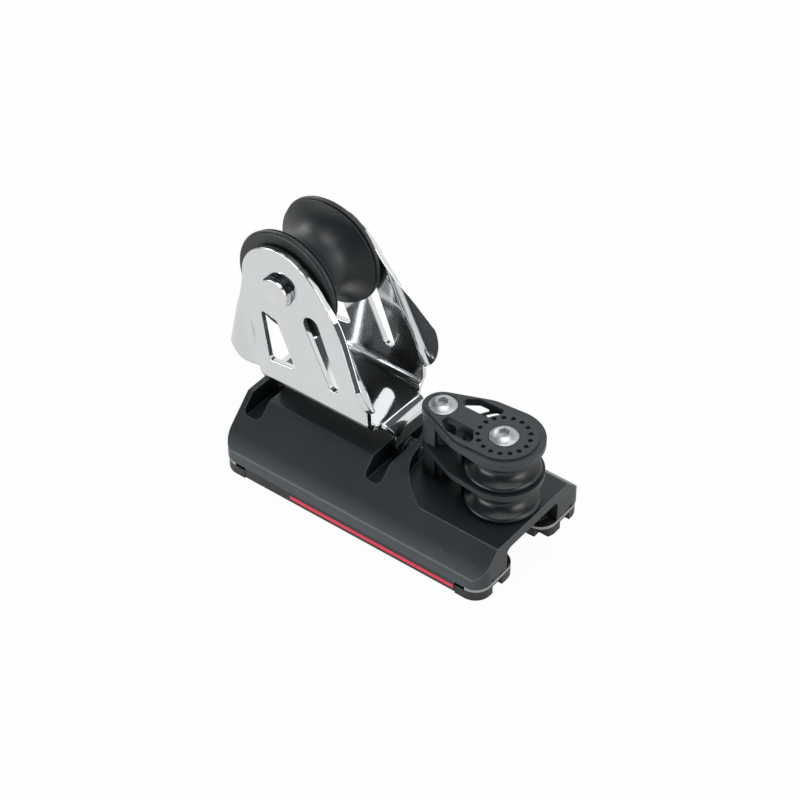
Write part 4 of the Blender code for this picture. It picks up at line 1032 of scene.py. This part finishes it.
def sheave_axle():
    """The axle stands out of each cheek; a clip in a groove keeps it from sliding."""
    tip, edge, seat = CAGE_HALF + 3.8 * MM, 0.45 * MM, CAGE_HALF + 0.2 * MM
    neck = AXLE_RADIUS - 0.6 * MM
    half = [(AXLE_RADIUS, seat), (neck, seat + 0.1 * MM), (neck, seat + 2 * MM)]
    half += [(AXLE_RADIUS, seat + 2.1 * MM), (AXLE_RADIUS, tip - edge)]
    half += [(AXLE_RADIUS - 0.15 * MM, tip - 0.12 * MM), (AXLE_RADIUS - edge, tip), (0, tip)]
    profile = [(r, -y) for r, y in reversed(half)] + half
    axle = new_object("sheave_pin", lathe(profile, AXLE_CENTRE, "Y", 80, False))
    coat = satin_metal("axle_steel", (0.72, 0.73, 0.74), 0.16)
    dark_spring = satin_metal("spring_steel", (0.07, 0.075, 0.08), 0.3)
    dress(axle, "cage", coat, ["sheave_axle"], corner=30)
    start, stop = radians(24), radians(152)
    open_ring = arc((0, 0), AXLE_RADIUS + 0.85 * MM, start, stop, 48)
    open_ring += arc((0, 0), AXLE_RADIUS - 0.5 * MM, stop, start, 48)
    outline = [(AXLE_X + x, AXLE_Z + z) for x, z in open_ring]
    for side, across in SIDES.items():
        low, high = sorted((across * (CAGE_HALF + 0.35 * MM), across * (CAGE_HALF + 2.1 * MM)))
        clip = new_object(f"{side}_snap_ring", prism(outline, low, high, "Y"))
        dress(clip, "cage", dark_spring, [f"{side}_axle_clip"], edge=0.12 * MM)
        low, high = across * (SHEAVE_HALF - 0.7 * MM), across * (SHEAVE_HALF + 1.5 * MM)
        washer = ring(f"{side}_thrust_ring", 8.1 * MM, 15 * MM, low, high, AXLE_CENTRE, "Y", 72)
        dress(washer, "cage", POLYMER, [f"{side}_thrust_washer"], edge=0.2 * MM)


def roller_ring(name, inner, wall, count, half, centre, axis, body, node):
    """A full ring of rollers standing round a shaft."""
    sizes = {"Pitch": inner + wall / 2, "Roller": wall / 2 - 0.05 * MM, "Length": 2 * half, "Rollers": count}
    tree, size = node_tree(name + "_tree", sizes)
    circle = {"Vertices": size["Rollers"], "Radius": size["Pitch"]}
    spots = size["Pitch"].node("GeometryNodeMeshCircle", circle)
    shape = {"Vertices": 18, "Radius": size["Roller"], "Depth": size["Length"]}
    roller = size["Roller"].node("GeometryNodeMeshCylinder", shape)
    placed = spots.node("GeometryNodeInstanceOnPoints", {"Points": spots, "Instance": roller})
    rollers = grown(name, tree, sizes, placed, POLYMER, (0, 0, 0))
    if axis == "Y":
        rollers.data.transform(Matrix.Rotation(radians(90), 4, "X"))
    rollers.data.transform(Matrix.Translation(centre))
    dress(rollers, body, POLYMER, [node], corner=40)


main_sheave()
sheave_axle()
roller_reach = SHEAVE_HALF - 1.3 * MM
roller_ring("main_rollers", AXLE_RADIUS + GAP, 3 * MM, 16, roller_reach, AXLE_CENTRE, "Y", "cage",
            "main_roller_set")

# The control block. Two moulded cheeks joined at the nose by their own walls, with a curved guard
# that keeps the line on the sheaves. The top one has a raised face with two windows and a ring of holes.
BLOCK_RADIUS = 19.4 * MM
NOSE_RADIUS = 9.8 * MM
WAIST_RADIUS = 18.1 * MM
WAIST_SHARE = 0.62
CONTROL_RADIUS = 18 * MM
CONTROL_WIDTH = 15 * MM
LOWER_Z = 27.8 * MM
MIDDLE_Z = 43.3 * MM
MIDDLE_TOP = 46.4 * MM
UPPER_Z = 46.9 * MM
TOP_Z = 62.4 * MM
TOP_TOP = 65.6 * MM
TOP_RAISE = 0.9 * MM
CHEEK_WALL = 2.6 * MM
HEAD_SEAT = 7.2 * MM
RING_RADIUS = 12.2 * MM
RING_HOLES = 17


def block_outline(insets=(0, 0, 0), steps=60):
    """The cheeks' egg-shaped plan: the hull of a large, a waist and a nose circle, each drawn in."""
    waist_x = NOSE_X + (BLOCK_X - NOSE_X) * WAIST_SHARE
    circles = [(BLOCK_X, BLOCK_RADIUS), (waist_x, WAIST_RADIUS), (NOSE_X, NOSE_RADIUS)]
    circles = [(x, r - inset) for (x, r), inset in zip(circles, insets)]
    leans = [acos((next_r - r) / (x - next_x)) for (x, r), (next_x, next_r) in zip(circles, circles[1:])]
    stops = [0] + leans + [pi]
    upper = []
    for (x, r), start, stop in zip(circles, stops, stops[1:]):
        upper += arc((x, 0), r, start, stop, max(3, round(steps * (stop - start) / pi)))
    return upper + [(x, -y) for x, y in reversed(upper[1:-1])]


def nose_wall(inset):
    """The C-shaped plan of the wall that follows the cheek's edge round the nose."""
    limit = 26.5 * MM
    sides = []
    for depth in (inset, inset + CHEEK_WALL):
        kept = [(x, y) for x, y in block_outline((depth, depth, depth)) if x < limit]
        sides.append([(limit, abs(kept[0][1]))] + kept + [(limit, -abs(kept[0][1]))])
    return sides[0] + sides[1][::-1]


def nose_parts(low, high):
    """The wall round the nose, its screw boss, the guard that hugs the sheave and the rib over it."""
    rise = high + MM
    made = [prism(nose_wall(0.5 * MM), low, rise), rod(6.6 * MM, low, rise, (NOSE_X, 0, 0), 48)]
    for foot, spread, clear in ((low, radians(31), 1.2 * MM), (high - 1.2 * MM, radians(46), 2.9 * MM)):
        near = CONTROL_RADIUS + clear
        guard = arc((BLOCK_X, 0), near, pi - spread, pi + spread, 30)
        guard += arc((BLOCK_X, 0), near + 2 * MM, pi + spread, pi - spread, 30)
        made.append(prism(guard, foot, rise))
    return made


def ring_of_holes():
    """The cutter for the small blind holes round the centre screw."""
    sizes = {"Ring": RING_RADIUS, "Hole": 1.2 * MM, "Depth": 3 * MM, "Holes": RING_HOLES}
    tree, size = node_tree("ring_of_holes", sizes)
    spots = size["Ring"].node("GeometryNodeMeshCircle", {"Vertices": size["Holes"], "Radius": size["Ring"]})
    shape = {"Vertices": 20, "Radius": size["Hole"], "Depth": size["Depth"]}
    drill = size["Hole"].node("GeometryNodeMeshCylinder", shape)
    placed = spots.node("GeometryNodeInstanceOnPoints", {"Points": spots, "Instance": drill})
    tool = grown("hole_tool", tree, sizes, placed, NYLON, (BLOCK_X, 0, TOP_TOP + TOP_RAISE))
    work = bmesh.new()
    work.from_mesh(tool.data)
    bpy.data.objects.remove(tool)
    return work


def top_cheek():
    cheek = new_object("block_top_plate", prism(block_outline(), TOP_Z, TOP_TOP))
    raised = prism(block_outline((3.4 * MM, 1.7 * MM, 1.3 * MM)), TOP_TOP - MM, TOP_TOP + TOP_RAISE)
    machine(cheek, [raised] + nose_parts(MIDDLE_TOP + GAP, TOP_Z), "UNION")
    over = TOP_TOP + 5 * MM
    cuts = block_holes(HEAD_SEAT, TOP_TOP - 0.2 * MM, over, 64)
    for across in SIDES.values():
        low = NOSE_X + 6.6 * MM
        corners = [(low, 5 * MM)] + arc((BLOCK_X, 0), RING_RADIUS + 1.9 * MM, radians(158), radians(134), 3)
        corners += [(BLOCK_X - 9.6 * MM, 14 * MM), (low + 5 * MM, 13.4 * MM), (low - 0.6 * MM, 9.4 * MM)]
        radii = [1.4 * MM, 1.4 * MM, 0, 0, 1.4 * MM, 1.4 * MM, 1.8 * MM, 1.6 * MM]
        cuts.append(prism([(x, across * y) for x, y in rounded(corners, radii, 6)], TOP_Z - MM, over))
    cuts += block_holes(SCREW_BORE, MIDDLE_Z, over, 40)
    cuts.append(ring_of_holes())
    machine(cheek, cuts)
    # Its nylon is painted 2.2 times lighter, as painted light falling on the block's top.
    dress(cheek, "car", moulded("top_cheek_painted_lit_nylon", 2.2), ["block_top_cheek"], edge=0.3 * MM)


def middle_cheek():
    cheek = new_object("block_middle_plate", prism(block_outline(), MIDDLE_Z, MIDDLE_TOP))
    machine(cheek, nose_parts(DECK_TOP + GAP, MIDDLE_Z), "UNION")
    machine(cheek, block_holes(SCREW_BORE, DECK_TOP - MM, MIDDLE_TOP + MM, 40))
    # Its nylon is painted 1.15 times lighter, a painted lit copy of the same black nylon.
    dress(cheek, "car", moulded("middle_cheek_painted_lit_nylon", 1.15), ["block_middle_cheek"], edge=0.4 * MM)


def control_sheave(name, low):
    half = CONTROL_WIDTH / 2
    rim, top, bore = half - 1.8 * MM, CONTROL_RADIUS, 7.7 * MM
    side = [(bore, -half), (top - 1.1 * MM, -half)]
    side += rolled_edge(top - 1.1 * MM, half, MM, 0.9 * MM, 18)
    side += [(top - 0.1 * MM, -half + 1.3 * MM), (top - 0.5 * MM, -rim + 0.1 * MM)]
    groove = throat(top - 0.9 * MM, 12.6 * MM, rim - 0.5 * MM, 20, 2.1)
    centre = (BLOCK_X, 0, low + half)
    profile = side + groove + [(r, -h) for r, h in reversed(side)]
    sheave = new_object(f"turned_{name}_sheave", lathe(profile, centre, "Z", 120))
    black, worn = (0.006, 0.009, 0.011), (0.011, 0.015, 0.017)
    coat = turned_black(f"{name}_sheave_black", centre, "Z", black, worn, 0.27)
    dress(sheave, f"{name}_control_sheave", coat, [f"{name}_control_sheave"], corner=40)
    short, reach = half + 0.2 * MM, half - 0.6 * MM
    hub = ring(f"{name}_steel_sleeve", 4.2 * MM, 5.2 * MM, -short, short, centre, "Z", 48)
    dress(hub, "car", SCREW_STEEL, [f"{name}_hub_sleeve"], edge=0.1 * MM)
    roller_ring(f"{name}_rollers", 5.5 * MM, 1.9 * MM, 12, reach, centre, "Z", "car", f"{name}_roller_set")


top_cheek()
middle_cheek()
control_sheave("lower", LOWER_Z)
control_sheave("upper", UPPER_Z)

# The block's fasteners: a plain washer on the deck, and two button-head screws with six-sided sockets
# that hold both cheeks down on the body. Their domed heads are satin and catch the light.
BUTTON_RADIUS = 6.9 * MM
BUTTON_DOME = 9.2 * MM
SOCKET_RADIUS = 2.75 * MM
SCREW_SHANK = 3.9 * MM


def button_screw(name, x):
    low, foot, radius = TOP_TOP + 0.1 * MM, CHANNEL_TOP + 0.6 * MM, BUTTON_RADIUS
    outline = [(0, foot), (SCREW_SHANK, foot), (SCREW_SHANK, low)]
    outline += [(radius - 0.25 * MM, low), (radius, low + 0.25 * MM), (radius, low + 0.7 * MM)]
    centre = low + 0.8 * MM - sqrt(BUTTON_DOME**2 - (radius - 0.2 * MM) ** 2)
    rings = [(6.7 - 0.4 * i) * MM for i in range(9)]
    outline += [(r, centre + sqrt(BUTTON_DOME**2 - r**2)) for r in rings]
    top = outline[-1][1]
    outline += [(SOCKET_RADIUS, top), (SOCKET_RADIUS, top - 0.12 * MM)]
    outline += [(SOCKET_RADIUS, top - 2.6 * MM), (0, top - 3 * MM)]
    work = lathe(outline, (x, 0, 0), "Z", 72, False)
    for vert in work.verts:
        # The socket's rings are drawn in from a circle to six flats.
        across = Vector((vert.co.x - x, vert.co.y))
        if MM < across.length < 3 * MM:
            turn = (atan2(across.y, across.x) % radians(60)) - radians(30)
            flat = across * cos(radians(30)) / cos(turn)
            vert.co.x, vert.co.y = x + flat.x, flat.y
    screw = new_object(name + "_button", work)
    dress(screw, "car", SCREW_STEEL, [name], corner=30)


def deck_washer():
    low, high = DECK_TOP + GAP, DECK_TOP + 1.3 * MM
    washer = ring("deck_washer", 4.2 * MM, 10.2 * MM, low, high, (BLOCK_X, 0, 0), "Z", 64)
    dress(washer, "car", SCREW_STEEL, ["base_washer"], edge=0.15 * MM)


button_screw("centre_screw", BLOCK_X)
button_screw("nose_screw", NOSE_X)
deck_washer()
